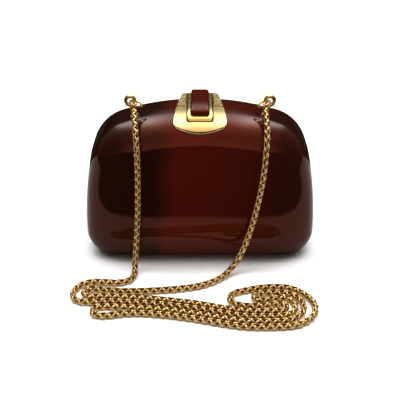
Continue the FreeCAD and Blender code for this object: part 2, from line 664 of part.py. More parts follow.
def latch_tongue():
    """Spring leaf on the rear frame, with a hook in front of the keeper."""
    leg = FRAME_LIP + TONGUE_THICK / 4
    heel = leg + TONGUE_THICK
    toe = -TONGUE_REACH
    hook = -(KEEPER_Y + KEEPER_THICK + HOOK_GAP)
    under = ARM_TOP - TONGUE_THICK
    tongue = strip([
        (heel + TONGUE_FOOT, LATCH_TOP - TONGUE_THICK), (heel + TONGUE_FOOT, LATCH_TOP), (leg, LATCH_TOP),
        (leg, ARM_TOP), (hook, ARM_TOP), (hook, KEEPER_FOOT + HOOK_GRIP), (hook - HOOK_LENGTH, ARM_TOP),
        (toe, ARM_TOP), (toe, under), (heel, under), (heel, LATCH_TOP - TONGUE_THICK),
    ], TONGUE_WIDTH)
    return tongue.cut([stud(side * TONGUE_RIVET_X, tongue_rivet_y(), ARM_TOP, TALL, LATCH_RIVET_RADIUS)
                       for side in (-1, 1)])


def latch_keeper():
    """Angle under the front frame that the tongue hooks onto."""
    face = -(KEEPER_Y + KEEPER_THICK)
    foot = LATCH_TOP - TONGUE_THICK
    keeper = strip([
        (-FRAME_WIDTH, LATCH_TOP), (-FRAME_WIDTH, foot), (face, foot), (face, KEEPER_FOOT),
        (-KEEPER_Y, KEEPER_FOOT), (-KEEPER_Y, LATCH_TOP),
    ], 2 * KEEPER_HALF)
    return keeper.cut([stud(side * KEEPER_RIVET_X, keeper_rivet_y(), ARM_TOP, TALL, LATCH_RIVET_RADIUS)
                       for side in (-1, 1)])


def latch_rivets(x, y):
    """Pair of rivets up through a latch piece into the frame above it."""
    seat = LATCH_TOP - TONGUE_THICK
    rivets = []
    for side in (-1, 1):
        shank = stud(side * x, y, seat, FRAME_UNDER + FRAME_THICK, LATCH_RIVET_RADIUS)
        head = stud(side * x, y, seat - LATCH_RIVET_HEAD_HEIGHT, seat, LATCH_RIVET_HEAD)
        rivets.append(shank.fuse(head).removeSplitter())
    return Part.makeCompound(rivets)


# Strap ears and rings


def ear_foot(side):
    """Point on the shell under the ear, and the way straight out of the shell there."""
    tilt = math.asin(EAR_X / CROWN_RADIUS)
    up = Vector(side * math.sin(tilt), 0, math.cos(tilt))
    return Vector(0, EAR_Y, BAG_CREST - CROWN_RADIUS) + up * CROWN_RADIUS, up


def ear_rod(side, low, high, radius, sides=EAR_SIDES):
    """Rod on the ear's axis, between two heights over the shell."""
    foot, up = ear_foot(side)
    return prism(foot + up * low, up, high - low, radius, sides)


def ear_hole(side, radius):
    return ear_rod(side, -SHOULDER_RADIUS, SHOULDER_RADIUS, radius, FASTENER_SIDES)


def eye_centre(side):
    foot, up = ear_foot(side)
    return foot + up * EAR_EYE_RISE


def ear_nut_top():
    return -(FRAME_INSET + FRAME_THICK + EAR_NUT_SEAT)


def ear(side):
    """Turned post with a round eye on top and a shank through the shell."""
    base = ear_rod(side, EAR_SEAT, EAR_BASE_HEIGHT, EAR_BASE_RADIUS)
    post = ear_rod(side, EAR_BASE_HEIGHT, EAR_EYE_RISE - EAR_EYE_RADIUS, EAR_POST_RADIUS)
    shank = ear_rod(side, ear_nut_top() - EAR_NUT_HEIGHT, EAR_BASE_HEIGHT, EAR_SHANK_RADIUS, FASTENER_SIDES)
    eye = flat_ring(eye_centre(side), Vector(0, 1, 0), EAR_EYE_RADIUS, EAR_EYE_WIRE)
    return base.fuse([post, shank, eye]).removeSplitter()


def ear_nuts():
    nuts = []
    for side in (-1, 1):
        low = ear_nut_top() - EAR_NUT_HEIGHT
        nut = ear_rod(side, low, ear_nut_top(), EAR_NUT_ACROSS / math.sqrt(3), 6)
        nuts.append(nut.cut(ear_hole(side, EAR_SHANK_RADIUS)))
    return Part.makeCompound(nuts)


def wire_section(centre, axis, radius, wire, angle):
    """Corners of a wire with flats, bent round the axis, at the given angle round it."""
    side = Vector(0, 1, 0) if abs(axis.y) < 0.5 else Vector(1, 0, 0)
    out = side * math.cos(angle) + axis.cross(side) * math.sin(angle)
    reach = wire / math.cos(math.pi / WIRE_SIDES)
    turns = [math.pi * (2 * k + 1) / WIRE_SIDES for k in range(WIRE_SIDES)]
    return [centre + out * (radius + reach * math.cos(a)) + axis * (reach * math.sin(a)) for a in turns]


def flat_ring(centre, axis, radius, wire):
    """Closed ring of wire in short straight steps."""
    angles = [2 * math.pi * k / WIRE_STEPS for k in range(WIRE_STEPS)]
    return flat_loft([wire_section(centre, axis, radius, wire, angle) for angle in angles], True)


def ring_centre(side):
    inward = Vector(-side * math.cos(RING_TILT), 0, -math.sin(RING_TILT))
    drop = EAR_EYE_RADIUS - EAR_EYE_WIRE - RING_WIRE - RING_HANG_GAP
    return eye_centre(side) - Vector(0, 0, drop) + inward * RING_RADIUS


def ring_axis(side):
    return Vector(-side * math.sin(RING_TILT), 0, math.cos(RING_TILT))


def strap_ring(side):
    """Jump ring, round about its own axis."""
    corners = wire_section(ring_centre(side), ring_axis(side), RING_RADIUS, RING_WIRE, 0.0)
    section = Part.Face(Part.makePolygon(corners + corners[:1]))
    return section.revolve(ring_centre(side), ring_axis(side), 360)


def chain_end_links():
    links = []
    for side in (-1, 1):
        hang = Vector(0, -RING_RADIUS + LINK_HANG[0], LINK_HANG[1])
        links.append(flat_ring(ring_centre(side) + hang, Vector(1, 0, 0), LINK_RADIUS, LINK_WIRE))
    return Part.makeCompound(links)


# Chain


def route_spans(points):
    """Straight runs joined by tangent arcs: for each bend a run, an arc and a run, as points."""
    bends = []
    for back, here, ahead in zip(points, points[1:], points[2:]):
        into = here - back
        out = ahead - here
        turn = into.getAngle(out)
        setback = ARC_SHARE * min(into.Length, out.Length)
        radius = setback / math.tan(turn / 2)
        into.normalize()
        out.normalize()
        inward = Vector(out - into).normalize()
        middle = here + inward * (radius / math.cos(turn / 2) - radius)
        bends.append((radius, here - into * setback, middle, here + out * setback))
    spans = []
    leave = points[0]
    for index, (radius, start, middle, end) in enumerate(bends):
        far = (points[index + 1] + points[index + 2]) / 2 if index + 2 < len(points) - 1 else points[-1]
        spans.append([(leave, start), (start, middle, end), (end, far)])
        leave = far
    return spans, [bend[0] for bend in bends]


def span_edge(points):
    return (Part.Arc(*points) if len(points) == 3 else Part.LineSegment(*points)).toShape()


def tell_volume(name, solid, length):
    share = solid.Volume / (CHAIN_WIDTH ** 2 * length)
    print(name, "length", round(length, 1), "volume over section times length", round(share, 4))


def chain_drop(name, spans):
    """Hanging stretch, swept up from the floor, where a flat side is down."""
    edges = [span_edge(points) for span in spans for points in span]
    path = Part.Wire(edges)
    start = spans[0][0][0]
    ahead = Vector(spans[0][0][1] - start).normalize()
    across = Vector(0, 0, 1).cross(ahead).normalize() * (CHAIN_WIDTH / 2)
    up = Vector(0, 0, CHAIN_WIDTH / 2)
    corners = [start + across + up, start + across - up, start - across - up, start - across + up]
    solid = path.makePipeShell([Part.makePolygon(corners + corners[:1])], True, False)
    tell_volume(name, solid, path.Length)
    return solid


def beside(points, side):
    """A run or an arc on the floor, moved half the chain's width to one side."""
    chord = points[-1] - points[0]
    bend = (points[1] - points[0]).cross(chord).z
    lean = math.copysign(2 * chord.getAngle(points[1] - points[0]), bend) if len(points) == 3 else 0.0
    moved = []
    for point, share in zip(points, (-1, 0, 1) if len(points) == 3 else (0, 0)):
        angle = math.atan2(chord.y, chord.x) + share * lean
        aside = Vector(-math.sin(angle), math.cos(angle), 0)
        moved.append(point + aside * (side * CHAIN_WIDTH / 2))
    return tuple(moved)


def chain_floor(name, spans):
    """Loops laid on the floor: both edges of the chain, drawn beside its route, then raised."""
    pieces = [points for span in spans for points in span]
    left = [beside(points, 1) for points in pieces]
    right = [tuple(reversed(beside(points, -1))) for points in reversed(pieces)]
    ends = [(left[-1][-1], right[0][0]), (right[-1][-1], left[0][0])]
    edges = [span_edge(points) for points in left + ends[:1] + right + ends[1:]]
    face = Part.Face(Part.Wire(edges))
    face.translate(Vector(0, 0, -CHAIN_WIDTH / 2))
    solid = face.extrude(Vector(0, 0, CHAIN_WIDTH))
    tell_volume(name, solid, sum(span_edge(points).Length for points in pieces))
    return solid


def least_gap(spans):
    """Least gap of the chain to itself, on points a section's width apart or less."""
    places = []
    run = 0.0
    for edge in (span_edge(points) for span in spans for points in span):
        count = max(2, math.ceil(edge.Length / (CHAIN_WIDTH / 4)))
        places += [(run + edge.Length * k / count, p) for k, p in enumerate(edge.discretize(count + 1)[:-1])]
        run += edge.Length
    apart = 3 * CHAIN_WIDTH
    gaps = [a[1].distanceToPoint(b[1]) for i, a in enumerate(places) for b in places[i + 1:]
            if b[0] - a[0] > apart]
    return min(gaps) - CHAIN_WIDTH


def chain():
    floor = [(x, y, CHAIN_FLOOR) for x, y in FLOOR_RUN]
    points = [Vector(*place) for place in LEFT_DROP + floor + RIGHT_DROP]
    spans, radii = route_spans(points)
    print("chain radii", [round(radius, 1) for radius in radii])
    print("chain least gap to itself", round(least_gap(spans), 2))
    first = len(LEFT_DROP)
    second = first + len(FLOOR_RUN) - 2
    up_left = [[tuple(reversed(run)) for run in reversed(span)] for span in reversed(spans[:first])]
    return {
        "chain_left_drop": chain_drop("chain_left_drop", up_left),
        "chain_floor_loops": chain_floor("chain_floor_loops", spans[first:second]),
        "chain_right_drop": chain_drop("chain_right_drop", spans[second:]),
    }


nodes = {
    "front_shell": front_shell(),
    "rear_shell": rear_shell(),
    "front_frame": front_frame(),
    "rear_frame": rear_frame(),
    "front_lining": lining(FRONT),
    "rear_lining": lining(REAR),
    "hinge_front_leaf": hinge_leaf(FRONT),
    "hinge_rear_leaf": hinge_leaf(REAR),
    "hinge_pin": hinge_pin(),
    "front_hinge_rivets": hinge_rivets(FRONT),
    "rear_hinge_rivets": hinge_rivets(REAR),
    "clasp_front_plate": front_plate(),
    "clasp_rear_plate": rear_plate(),
    "clasp_bezel": bezel(),
    "clasp_screws_front": clasp_screws(FRONT_SCREW),
    "clasp_screws_rear": clasp_screws(REAR_SCREW),
    "button_inlay": button_inlay(),
    "button_carrier": button_carrier(),
    "button_spring": button_spring(),
    "stem_clip": stem_clip(),
    "latch_tongue": latch_tongue(),
    "latch_keeper": latch_keeper(),
    "tongue_rivets": latch_rivets(TONGUE_RIVET_X, tongue_rivet_y()),
    "keeper_rivets": latch_rivets(KEEPER_RIVET_X, keeper_rivet_y()),
    "ear_left": ear(-1),
    "ear_right": ear(1),
    "ear_nuts": ear_nuts(),
    "ring_left": strap_ring(-1),
    "ring_right": strap_ring(1),
    "chain_end_links": chain_end_links(),
}
nodes.update(chain())

os.makedirs("parts", exist_ok=True)
for name, shape in nodes.items():
    shape.exportStep("parts/" + name + ".step")
    print(name, "solids", len(shape.Solids), "volume", round(shape.Volume, 2), "valid", shape.isValid())
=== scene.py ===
import math

import bpy
from mathutils import Matrix, Vector


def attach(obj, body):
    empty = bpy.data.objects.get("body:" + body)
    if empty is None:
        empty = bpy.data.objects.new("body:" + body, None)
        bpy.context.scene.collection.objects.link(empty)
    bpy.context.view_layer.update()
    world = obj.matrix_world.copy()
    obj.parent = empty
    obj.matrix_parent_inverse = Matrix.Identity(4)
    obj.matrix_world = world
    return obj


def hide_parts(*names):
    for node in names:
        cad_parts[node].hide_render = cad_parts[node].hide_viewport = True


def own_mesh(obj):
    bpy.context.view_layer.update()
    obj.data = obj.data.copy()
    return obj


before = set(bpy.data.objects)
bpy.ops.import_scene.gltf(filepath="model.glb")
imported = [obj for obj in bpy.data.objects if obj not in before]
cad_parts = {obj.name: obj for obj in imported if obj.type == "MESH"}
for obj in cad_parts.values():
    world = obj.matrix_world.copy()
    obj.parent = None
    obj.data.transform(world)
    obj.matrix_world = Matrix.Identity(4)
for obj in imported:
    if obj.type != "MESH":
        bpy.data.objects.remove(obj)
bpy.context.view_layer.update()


# View: the bag's front half stands on a pale table top with an opening behind it, where the rear half
# can swing down. A soft studio sky, brightest above, with two tall panels of light, is all the light.
camera_spot = (0, -0.4853, 0.2917)
camera_tilt = math.radians(61.93)
bpy.ops.object.select_all(action="DESELECT")
bpy.ops.object.camera_add(location=camera_spot, rotation=(camera_tilt, 0, 0))
camera = bpy.context.object
camera.data.sensor_width = 36
camera.data.lens = 69.26
camera.data.clip_start = 0.01
bpy.context.scene.camera = camera
bpy.context.scene.view_settings.view_transform = "Standard"


def new_piece(name):
    """The object that was just made, under the given name."""
    piece = bpy.context.object
    piece.name = name
    piece.data.name = name
    return piece


def joined(pieces, name):
    """One object made of several, under the given name."""
    bpy.ops.object.select_all(action="DESELECT")
    for piece in pieces:
        piece.select_set(True)
    bpy.context.view_layer.objects.active = pieces[0]
    bpy.ops.object.join()
    return new_piece(name)


table_end = 5
gap_side = 0.09
gap_front = -0.003
gap_back = 0.12
board_edges = (
    (-table_end, -gap_side, gap_front, gap_back),
    (gap_side, table_end, gap_front, gap_back),
    (-table_end, table_end, -table_end, gap_front),
    (-table_end, table_end, gap_back, table_end),
)
boards = []
for left, right, front, back in board_edges:
    bpy.ops.mesh.primitive_plane_add(size=1, location=((left + right) / 2, (front + back) / 2, 0))
    board = bpy.context.object
    board.scale = (right - left, back - front, 1)
    bpy.ops.object.transform_apply(location=True, rotation=True, scale=True)
    boards.append(board)
table = joined(boards, "table_top")
table_paint = bpy.data.materials.new("table_paint")
table_paint.use_nodes = True
tree = table_paint.node_tree
shader = tree.nodes["Principled BSDF"]
shader.inputs["Roughness"].default_value = 0.9
shader.inputs["Specular IOR Level"].default_value = 0.0
place = tree.nodes.new("ShaderNodeTexCoord")
sides = tree.nodes.new("ShaderNodeSeparateXYZ")
tree.links.new(place.outputs["Object"], sides.inputs["Vector"])
depth = tree.nodes.new("ShaderNodeMath")
depth.operation = "ABSOLUTE"
tree.links.new(sides.outputs["Y"], depth.inputs[0])
# Painted reflection: beyond about 13 cm in front of or behind the bag, reflected rays see the floor painted
# near black, so the lacquer shows a dark room there; the camera sees it white.
edge = tree.nodes.new("ShaderNodeMapRange")
edge.interpolation_type = "SMOOTHSTEP"
edge.inputs["From Min"].default_value = 0.13
edge.inputs["From Max"].default_value = 0.142
tree.links.new(depth.outputs["Value"], edge.inputs["Value"])
ray = tree.nodes.new("ShaderNodeLightPath")
shade = tree.nodes.new("ShaderNodeMath")
shade.operation = "MULTIPLY"
tree.links.new(edge.outputs["Result"], shade.inputs[0])
tree.links.new(ray.outputs["Is Glossy Ray"], shade.inputs[1])
floor_with_painted_dark_reflection = tree.nodes.new("ShaderNodeMix")
floor_with_painted_dark_reflection.data_type = "RGBA"
floor_with_painted_dark_reflection.inputs["A"].default_value = (0.94, 0.94, 0.94, 1)
floor_with_painted_dark_reflection.inputs["B"].default_value = (0.03, 0.03, 0.03, 1)
tree.links.new(shade.outputs["Value"], floor_with_painted_dark_reflection.inputs["Factor"])
clear = tree.nodes.new("ShaderNodeMix")
clear.data_type = "RGBA"
clear.inputs["B"].default_value = (1.9, 1.9, 1.9, 1)
tree.links.new(ray.outputs["Is Camera Ray"], clear.inputs["Factor"])
tree.links.new(floor_with_painted_dark_reflection.outputs["Result"], clear.inputs["A"])
tree.links.new(clear.outputs["Result"], shader.inputs["Base Color"])
table.data.materials.append(table_paint)

studio = bpy.data.worlds.new("studio")
bpy.context.scene.world = studio
studio.use_nodes = True
tree = studio.node_tree
tree.nodes.clear()
place = tree.nodes.new("ShaderNodeTexCoord")
sides = tree.nodes.new("ShaderNodeSeparateXYZ")
tree.links.new(place.outputs["Generated"], sides.inputs["Vector"])
arc = tree.nodes.new("ShaderNodeMath")
arc.operation = "ARCTAN2"
tree.links.new(sides.outputs["Z"], arc.inputs[0])
tree.links.new(sides.outputs["Y"], arc.inputs[1])
over = tree.nodes.new("ShaderNodeMath")
over.operation = "DIVIDE"
over.inputs[1].default_value = math.pi
tree.links.new(arc.outputs["Value"], over.inputs[0])
aside = tree.nodes.new("ShaderNodeMath")
aside.operation = "ABSOLUTE"
tree.links.new(sides.outputs["X"], aside.inputs[0])


def light_ramp(source, stops):
    """Level of light over the sky, as straight steps between the given places."""
    ramp = tree.nodes.new("ShaderNodeValToRGB")
    while len(ramp.color_ramp.elements) < len(stops):
        ramp.color_ramp.elements.new(1.0)
    for stop, (spot, level) in zip(ramp.color_ramp.elements, stops):
        stop.position = spot
        stop.color = (level, level, level, 1)
    tree.links.new(source.outputs["Value"], ramp.inputs["Fac"])
    return ramp


def blend_of(first, second, operation):
    """Two levels of light, multiplied or added."""
    made = tree.nodes.new("ShaderNodeMath")
    made.operation = operation
    for socket, source in zip(made.inputs, (first, second)):
        if isinstance(source, float):
            socket.default_value = source
        else:
            tree.links.new(source.outputs[0], socket)
    return made


rear_sky = light_ramp(over, [
    (0.0, 0.0), (0.115, 0.015), (0.125, 0.1), (0.145, 0.38), (0.19, 0.7), (0.25, 0.9), (0.35, 0.95),
    (0.45, 0.74), (0.55, 0.45), (0.65, 0.12), (0.72, 0.0),
])
front_sky = light_ramp(over, [
    (0.5, 0.0), (0.56, 0.6), (0.62, 0.95), (0.72, 0.85), (0.8, 0.6), (0.9, 0.8), (0.965, 1.0), (0.98, 0.0),
])
side_fall = light_ramp(aside, [(0.32, 1.0), (0.44, 0.4), (0.6, 0.13), (1.0, 0.08)])
panel_rise = light_ramp(over, [
    (0.112, 0.0), (0.14, 0.5), (0.2, 0.85), (0.3, 1.0), (0.38, 0.85), (0.46, 0.5), (0.55, 0.15),
    (0.62, 0.0),
])
panel_width = light_ramp(aside, [
    (0.1, 0.0), (0.2, 0.5), (0.27, 1.0), (0.34, 0.7), (0.4, 0.15), (0.46, 0.0),
])
roof_rise = light_ramp(over, [
    (0.385, 0.0), (0.415, 1.0), (0.475, 1.0), (0.515, 0.3), (0.6, 0.07), (0.7, 0.0),
])
roof_width = light_ramp(aside, [(0.3, 1.0), (0.55, 0.4), (0.8, 0.0)])
panel_strength = 4.3
rear_strength = 2.2
roof_strength = 8.5
room_strength = 0.05
panels = blend_of(blend_of(panel_rise, panel_width, "MULTIPLY"), panel_strength, "MULTIPLY")
rear = blend_of(blend_of(rear_sky, side_fall, "MULTIPLY"), rear_strength, "MULTIPLY")
mirrored = blend_of(panels, rear, "ADD")
overhead = blend_of(blend_of(roof_rise, roof_width, "MULTIPLY"), roof_strength, "MULTIPLY")
roof = blend_of(overhead, room_strength, "ADD")
ray = tree.nodes.new("ShaderNodeLightPath")
level = tree.nodes.new("ShaderNodeMix")
tree.links.new(ray.outputs["Is Glossy Ray"], level.inputs["Factor"])
tree.links.new(roof.outputs["Value"], level.inputs["A"])
tree.links.new(mirrored.outputs["Value"], level.inputs["B"])
sky = tree.nodes.new("ShaderNodeBackground")
tree.links.new(level.outputs["Result"], sky.inputs["Strength"])
ahead = tree.nodes.new("ShaderNodeMath")
ahead.operation = "MULTIPLY"
tree.links.new(blend_of(front_sky, side_fall, "MULTIPLY").outputs["Value"], ahead.inputs[0])
tree.links.new(ray.outputs["Is Glossy Ray"], ahead.inputs[1])
room = tree.nodes.new("ShaderNodeBackground")
room.inputs["Color"].default_value = (1.0, 0.74, 0.62, 1)
tree.links.new(ahead.outputs["Value"], room.inputs["Strength"])
both = tree.nodes.new("ShaderNodeAddShader")
tree.links.new(sky.outputs["Background"], both.inputs[0])
tree.links.new(room.outputs["Background"], both.inputs[1])
blank = tree.nodes.new("ShaderNodeBackground")
blank.inputs["Color"].default_value = (1, 1, 1, 1)
either = tree.nodes.new("ShaderNodeMixShader")
tree.links.new(ray.outputs["Is Camera Ray"], either.inputs["Fac"])
tree.links.new(both.outputs["Shader"], either.inputs[1])
tree.links.new(blank.outputs["Background"], either.inputs[2])
out = tree.nodes.new("ShaderNodeOutputWorld")
tree.links.new(either.outputs["Shader"], out.inputs["Surface"])


# Shells: two halves of a pillow-shaped box, moulded hard and coated with deep burgundy lacquer.
# Each is an even wall that turns in a little at the rim, and gives way to the hinge along its base.
half_depth = 0.033
mid_height = 0.045
fullness = 4.4
crown_radius = 0.186
crown_centre = -0.082


def finish_edit():
    """Turns all faces of the piece in edit mode outwards, and leaves edit mode."""
    bpy.ops.mesh.select_all(action="SELECT")
    bpy.ops.mesh.normals_make_consistent(inside=False)
    bpy.ops.object.mode_set(mode="OBJECT")


def pillow_outline(inset, steps):
    """Points of the bag's outline in X and Z, on tangent arcs from the base's right end to its left end."""
    base_half = 0.062
    base_level = -0.0008
    crest_level = 0.104
    corner = Vector((base_half, 0.0172))
    side = Vector((-0.190, 0.0172))
    crown = Vector((0, crown_centre))
    from_side = 0.242
    from_crown = 0.158
    between = crown - side
    along = (from_side ** 2 - from_crown ** 2 + between.length ** 2) / (2 * between.length)
    across = math.sqrt(from_side ** 2 - along ** 2)
    ahead = between.normalized()
    shoulder = side + ahead * along + Vector((-ahead.y, ahead.x)) * across
    side_end = math.atan2(shoulder.y - side.y, shoulder.x - side.x)
    crown_start = math.atan2(shoulder.y - crown.y, shoulder.x - crown.x)
    arcs = [
        (corner, 0.018, -math.pi / 2, 0.0, steps),
        (side, 0.270, 0.0, side_end, 2 * steps),
        (shoulder, 0.028, side_end, crown_start, 2 * steps),
        (crown, crown_radius, crown_start, math.pi / 2, 3 * steps),
    ]
    right = []
    for centre, radius, first, last, count in arcs:
        reach = radius - inset
        for k in range(count):
            angle = first + (last - first) * k / count
            right.append((centre.x + reach * math.cos(angle), centre.y + reach * math.sin(angle)))
    left = [(-x, z) for x, z in reversed(right)]
    base = [(-base_half + base_half * k / steps, base_level + inset) for k in range(1, 2 * steps)]
    return right + [(0, crest_level - inset)] + left + base


def pillow_skin(name, facing, inset, rim, steps, turns):
    """Half of the pillow as an open skin: its outline, extruded to the face and drawn in at each step."""
    lip = 0.0004
    least_depth = 0.003
    last_scales = (0.02, 0.004)
    outline = pillow_outline(inset, steps)
    depth = half_depth - inset
    bpy.ops.object.select_all(action="DESELECT")
    bpy.ops.mesh.primitive_circle_add(vertices=len(outline), radius=0.05)
    skin = new_piece(name)
    for vertex, (x, z) in zip(skin.data.vertices, outline):
        vertex.co = (x, facing * rim, z)
    bpy.ops.object.mode_set(mode="EDIT")
    bpy.ops.mesh.select_all(action="SELECT")
    bpy.ops.mesh.extrude_region_move(TRANSFORM_OT_translate={"value": (0, facing * lip, 0)})
    reached = rim + lip
    drawn = 1.0
    angles = [math.pi / 2 * k / turns for k in range(1, turns)]
    angles += [math.acos(scale) for scale in last_scales]
    for angle in angles:
        y = depth * math.sin(angle) ** (2 / fullness)
        if y < rim + least_depth:
            continue
        scale = math.cos(angle) ** (2 / fullness)
        bpy.ops.mesh.extrude_region_move(TRANSFORM_OT_translate={"value": (0, facing * (y - reached), 0)})
        share = scale / drawn
        bpy.ops.transform.resize(value=(share, 1, share), center_override=(0, facing * y, mid_height))
        reached = y
        drawn = scale
    bpy.ops.mesh.merge(type="CENTER")
    finish_edit()
    inside = facing * 0.01
    outward = sum((face.center.y - inside) * face.normal.y * face.area for face in skin.data.polygons)
    if outward < 0:
        skin.data.flip_normals()
    return skin


def give_wall(piece, thickness):
    """Thickens a skin inwards."""
    wall = piece.modifiers.new("wall", "SOLIDIFY")
    wall.thickness = thickness
    wall.offset = -1
    bpy.context.view_layer.objects.active = piece
    bpy.ops.object.modifier_apply(modifier=wall.name)


def smooth(piece, degrees):
    """Shades a piece smooth, apart from the edges that are sharper than the given angle."""
    bpy.ops.object.select_all(action="DESELECT")
    piece.select_set(True)
    bpy.context.view_layer.objects.active = piece
    bpy.ops.object.shade_smooth_by_angle(angle=math.radians(degrees))


lacquer = bpy.data.materials.new("burgundy_lacquer")
lacquer.use_nodes = True
tree = lacquer.node_tree
shader = tree.nodes["Principled BSDF"]
shader.inputs["IOR"].default_value = 1.5
shader.inputs["Specular Tint"].default_value = (1.0, 0.34, 0.22, 1)
place = tree.nodes.new("ShaderNodeTexCoord")
sides = tree.nodes.new("ShaderNodeSeparateXYZ")
tree.links.new(place.outputs["Object"], sides.inputs["Vector"])
# Painted shade: the lacquer's colour runs from dark at the left end to red left of the middle and dark
# again at the right end. Random clouds of tone lie over it and are the lacquer's own.
along = tree.nodes.new("ShaderNodeMapRange")
along.inputs["From Min"].default_value = -0.08
along.inputs["From Max"].default_value = 0.08
along.inputs["To Min"].default_value = -0.1
along.inputs["To Max"].default_value = 0.9
tree.links.new(sides.outputs["X"], along.inputs["Value"])
cloud = tree.nodes.new("ShaderNodeTexNoise")
cloud.inputs["Scale"].default_value = 14
cloud.inputs["Detail"].default_value = 2
cloud.inputs["Roughness"].default_value = 0.45
tree.links.new(place.outputs["Object"], cloud.inputs["Vector"])
side_shade_and_clouds = tree.nodes.new("ShaderNodeMath")
side_shade_and_clouds.operation = "MULTIPLY_ADD"
side_shade_and_clouds.inputs[1].default_value = 0.2
tree.links.new(cloud.outputs["Fac"], side_shade_and_clouds.inputs[0])
tree.links.new(along.outputs["Result"], side_shade_and_clouds.inputs[2])
lacquer_clouds_and_painted_side_shade = tree.nodes.new("ShaderNodeValToRGB")
lacquer_clouds_and_painted_side_shade.color_ramp.elements[0].position = 0.3
lacquer_clouds_and_painted_side_shade.color_ramp.elements[0].color = (0.029, 0.0075, 0.0035, 1)
lacquer_clouds_and_painted_side_shade.color_ramp.elements[1].position = 0.95
lacquer_clouds_and_painted_side_shade.color_ramp.elements[1].color = (0.044, 0.009, 0.0045, 1)
for spot, tone in ((0.37, (0.122, 0.0105, 0.006, 1)), (0.55, (0.108, 0.0095, 0.0045, 1)),
                   (0.72, (0.086, 0.0095, 0.0045, 1)), (0.84, (0.044, 0.0085, 0.004, 1))):
    stop = lacquer_clouds_and_painted_side_shade.color_ramp.elements.new(spot)
    stop.color = tone
tree.links.new(side_shade_and_clouds.outputs["Value"], lacquer_clouds_and_painted_side_shade.inputs["Fac"])
tree.links.new(lacquer_clouds_and_painted_side_shade.outputs["Color"], shader.inputs["Base Color"])
haze = tree.nodes.new("ShaderNodeTexNoise")
haze.inputs["Scale"].default_value = 60
haze.inputs["Detail"].default_value = 3
tree.links.new(place.outputs["Object"], haze.inputs["Vector"])
gloss = tree.nodes.new("ShaderNodeMapRange")
gloss.inputs["To Min"].default_value = 0.03
gloss.inputs["To Max"].default_value = 0.07
tree.links.new(haze.outputs["Fac"], gloss.inputs["Value"])
tree.links.new(gloss.outputs["Result"], shader.inputs["Roughness"])
height = tree.nodes.new("ShaderNodeMapRange")
height.inputs["From Max"].default_value = 0.1
tree.links.new(sides.outputs["Z"], height.inputs["Value"])
belly = tree.nodes.new("ShaderNodeValToRGB")
belly.color_ramp.interpolation = "EASE"
belly.color_ramp.elements[0].position = 0.14
belly.color_ramp.elements[0].color = (0, 0, 0, 1)
belly.color_ramp.elements[1].position = 0.75
belly.color_ramp.elements[1].color = (0, 0, 0, 1)
for spot in (0.27, 0.5):
    stop = belly.color_ramp.elements.new(spot)
    stop.color = (1, 1, 1, 1)
tree.links.new(height.outputs["Result"], belly.inputs["Fac"])
lean = tree.nodes.new("ShaderNodeMath")
lean.operation = "MULTIPLY"
lean.inputs[1].default_value = 0.085
tree.links.new(belly.outputs["Color"], lean.inputs[0])
upward = tree.nodes.new("ShaderNodeCombineXYZ")
tree.links.new(lean.outputs["Value"], upward.inputs["Z"])
turned_up = tree.nodes.new("ShaderNodeVectorTransform")
turned_up.vector_type = "VECTOR"
turned_up.convert_from = "OBJECT"
turned_up.convert_to = "WORLD"
tree.links.new(upward.outputs["Vector"], turned_up.inputs["Vector"])
surface = tree.nodes.new("ShaderNodeNewGeometry")
leaning = tree.nodes.new("ShaderNodeVectorMath")
leaning.operation = "ADD"
tree.links.new(surface.outputs["Normal"], leaning.inputs[0])
tree.links.new(turned_up.outputs["Vector"], leaning.inputs[1])
level = tree.nodes.new("ShaderNodeVectorMath")
level.operation = "NORMALIZE"
tree.links.new(leaning.outputs["Vector"], level.inputs[0])
tree.links.new(level.outputs["Vector"], shader.inputs["Normal"])

shell_rim = 0.0002
shell_wall = 0.0026
lip_tuck = (0.9965, 1, 0.996)
slot_half = 0.073
slot_top = 0.0035
slot_depth = 0.0027
for facing, name in ((-1, "front"), (1, "rear")):
    half = pillow_skin("lacquer_shell_" + name, facing, inset=0.0, rim=shell_rim, steps=10, turns=36)
    bpy.ops.object.mode_set(mode="EDIT")
    bpy.ops.mesh.select_mode(type="EDGE")
    bpy.ops.mesh.select_all(action="DESELECT")
    bpy.ops.mesh.select_non_manifold()
    bpy.ops.mesh.extrude_region_move(TRANSFORM_OT_translate={"value": (0, -facing * shell_rim / 2, 0)})
    bpy.ops.transform.resize(value=lip_tuck, center_override=(0, 0, mid_height))
    bpy.ops.object.mode_set(mode="OBJECT")
    for vertex in half.data.vertices:
        vertex.co.z = max(vertex.co.z, 0.0)
        if abs(vertex.co.y) < 0.001 and vertex.co.z < slot_top and abs(vertex.co.x) < slot_half:
            vertex.co.y += facing * slot_depth
    give_wall(half, shell_wall)
    smooth(half, degrees=50)
    half.data.materials.append(lacquer)
    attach(half, name + "_half")
    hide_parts(name + "_shell")


# Rim frames: bands of brass strip bent to the inside of each rim. The front one stands proud and
# goes into the rear half when the bag shuts. Satin from the polishing wheel.
polish_marks = bpy.data.node_groups.new("polish_marks", "ShaderNodeTree")
for socket, start in (("Scale", 200.0), ("Least", 0.1), ("Most", 0.3)):
    made = polish_marks.interface.new_socket(socket, in_out="INPUT", socket_type="NodeSocketFloat")
    made.default_value = start
for socket in ("Roughness", "Height"):
    polish_marks.interface.new_socket(socket, in_out="OUTPUT", socket_type="NodeSocketFloat")
entry = polish_marks.nodes.new("NodeGroupInput")
leave = polish_marks.nodes.new("NodeGroupOutput")
place = polish_marks.nodes.new("ShaderNodeTexCoord")
marks = polish_marks.nodes.new("ShaderNodeTexNoise")
marks.inputs["Detail"].default_value = 4
marks.inputs["Distortion"].default_value = 0.4
polish_marks.links.new(place.outputs["Object"], marks.inputs["Vector"])
polish_marks.links.new(entry.outputs["Scale"], marks.inputs["Scale"])
spread = polish_marks.nodes.new("ShaderNodeMapRange")
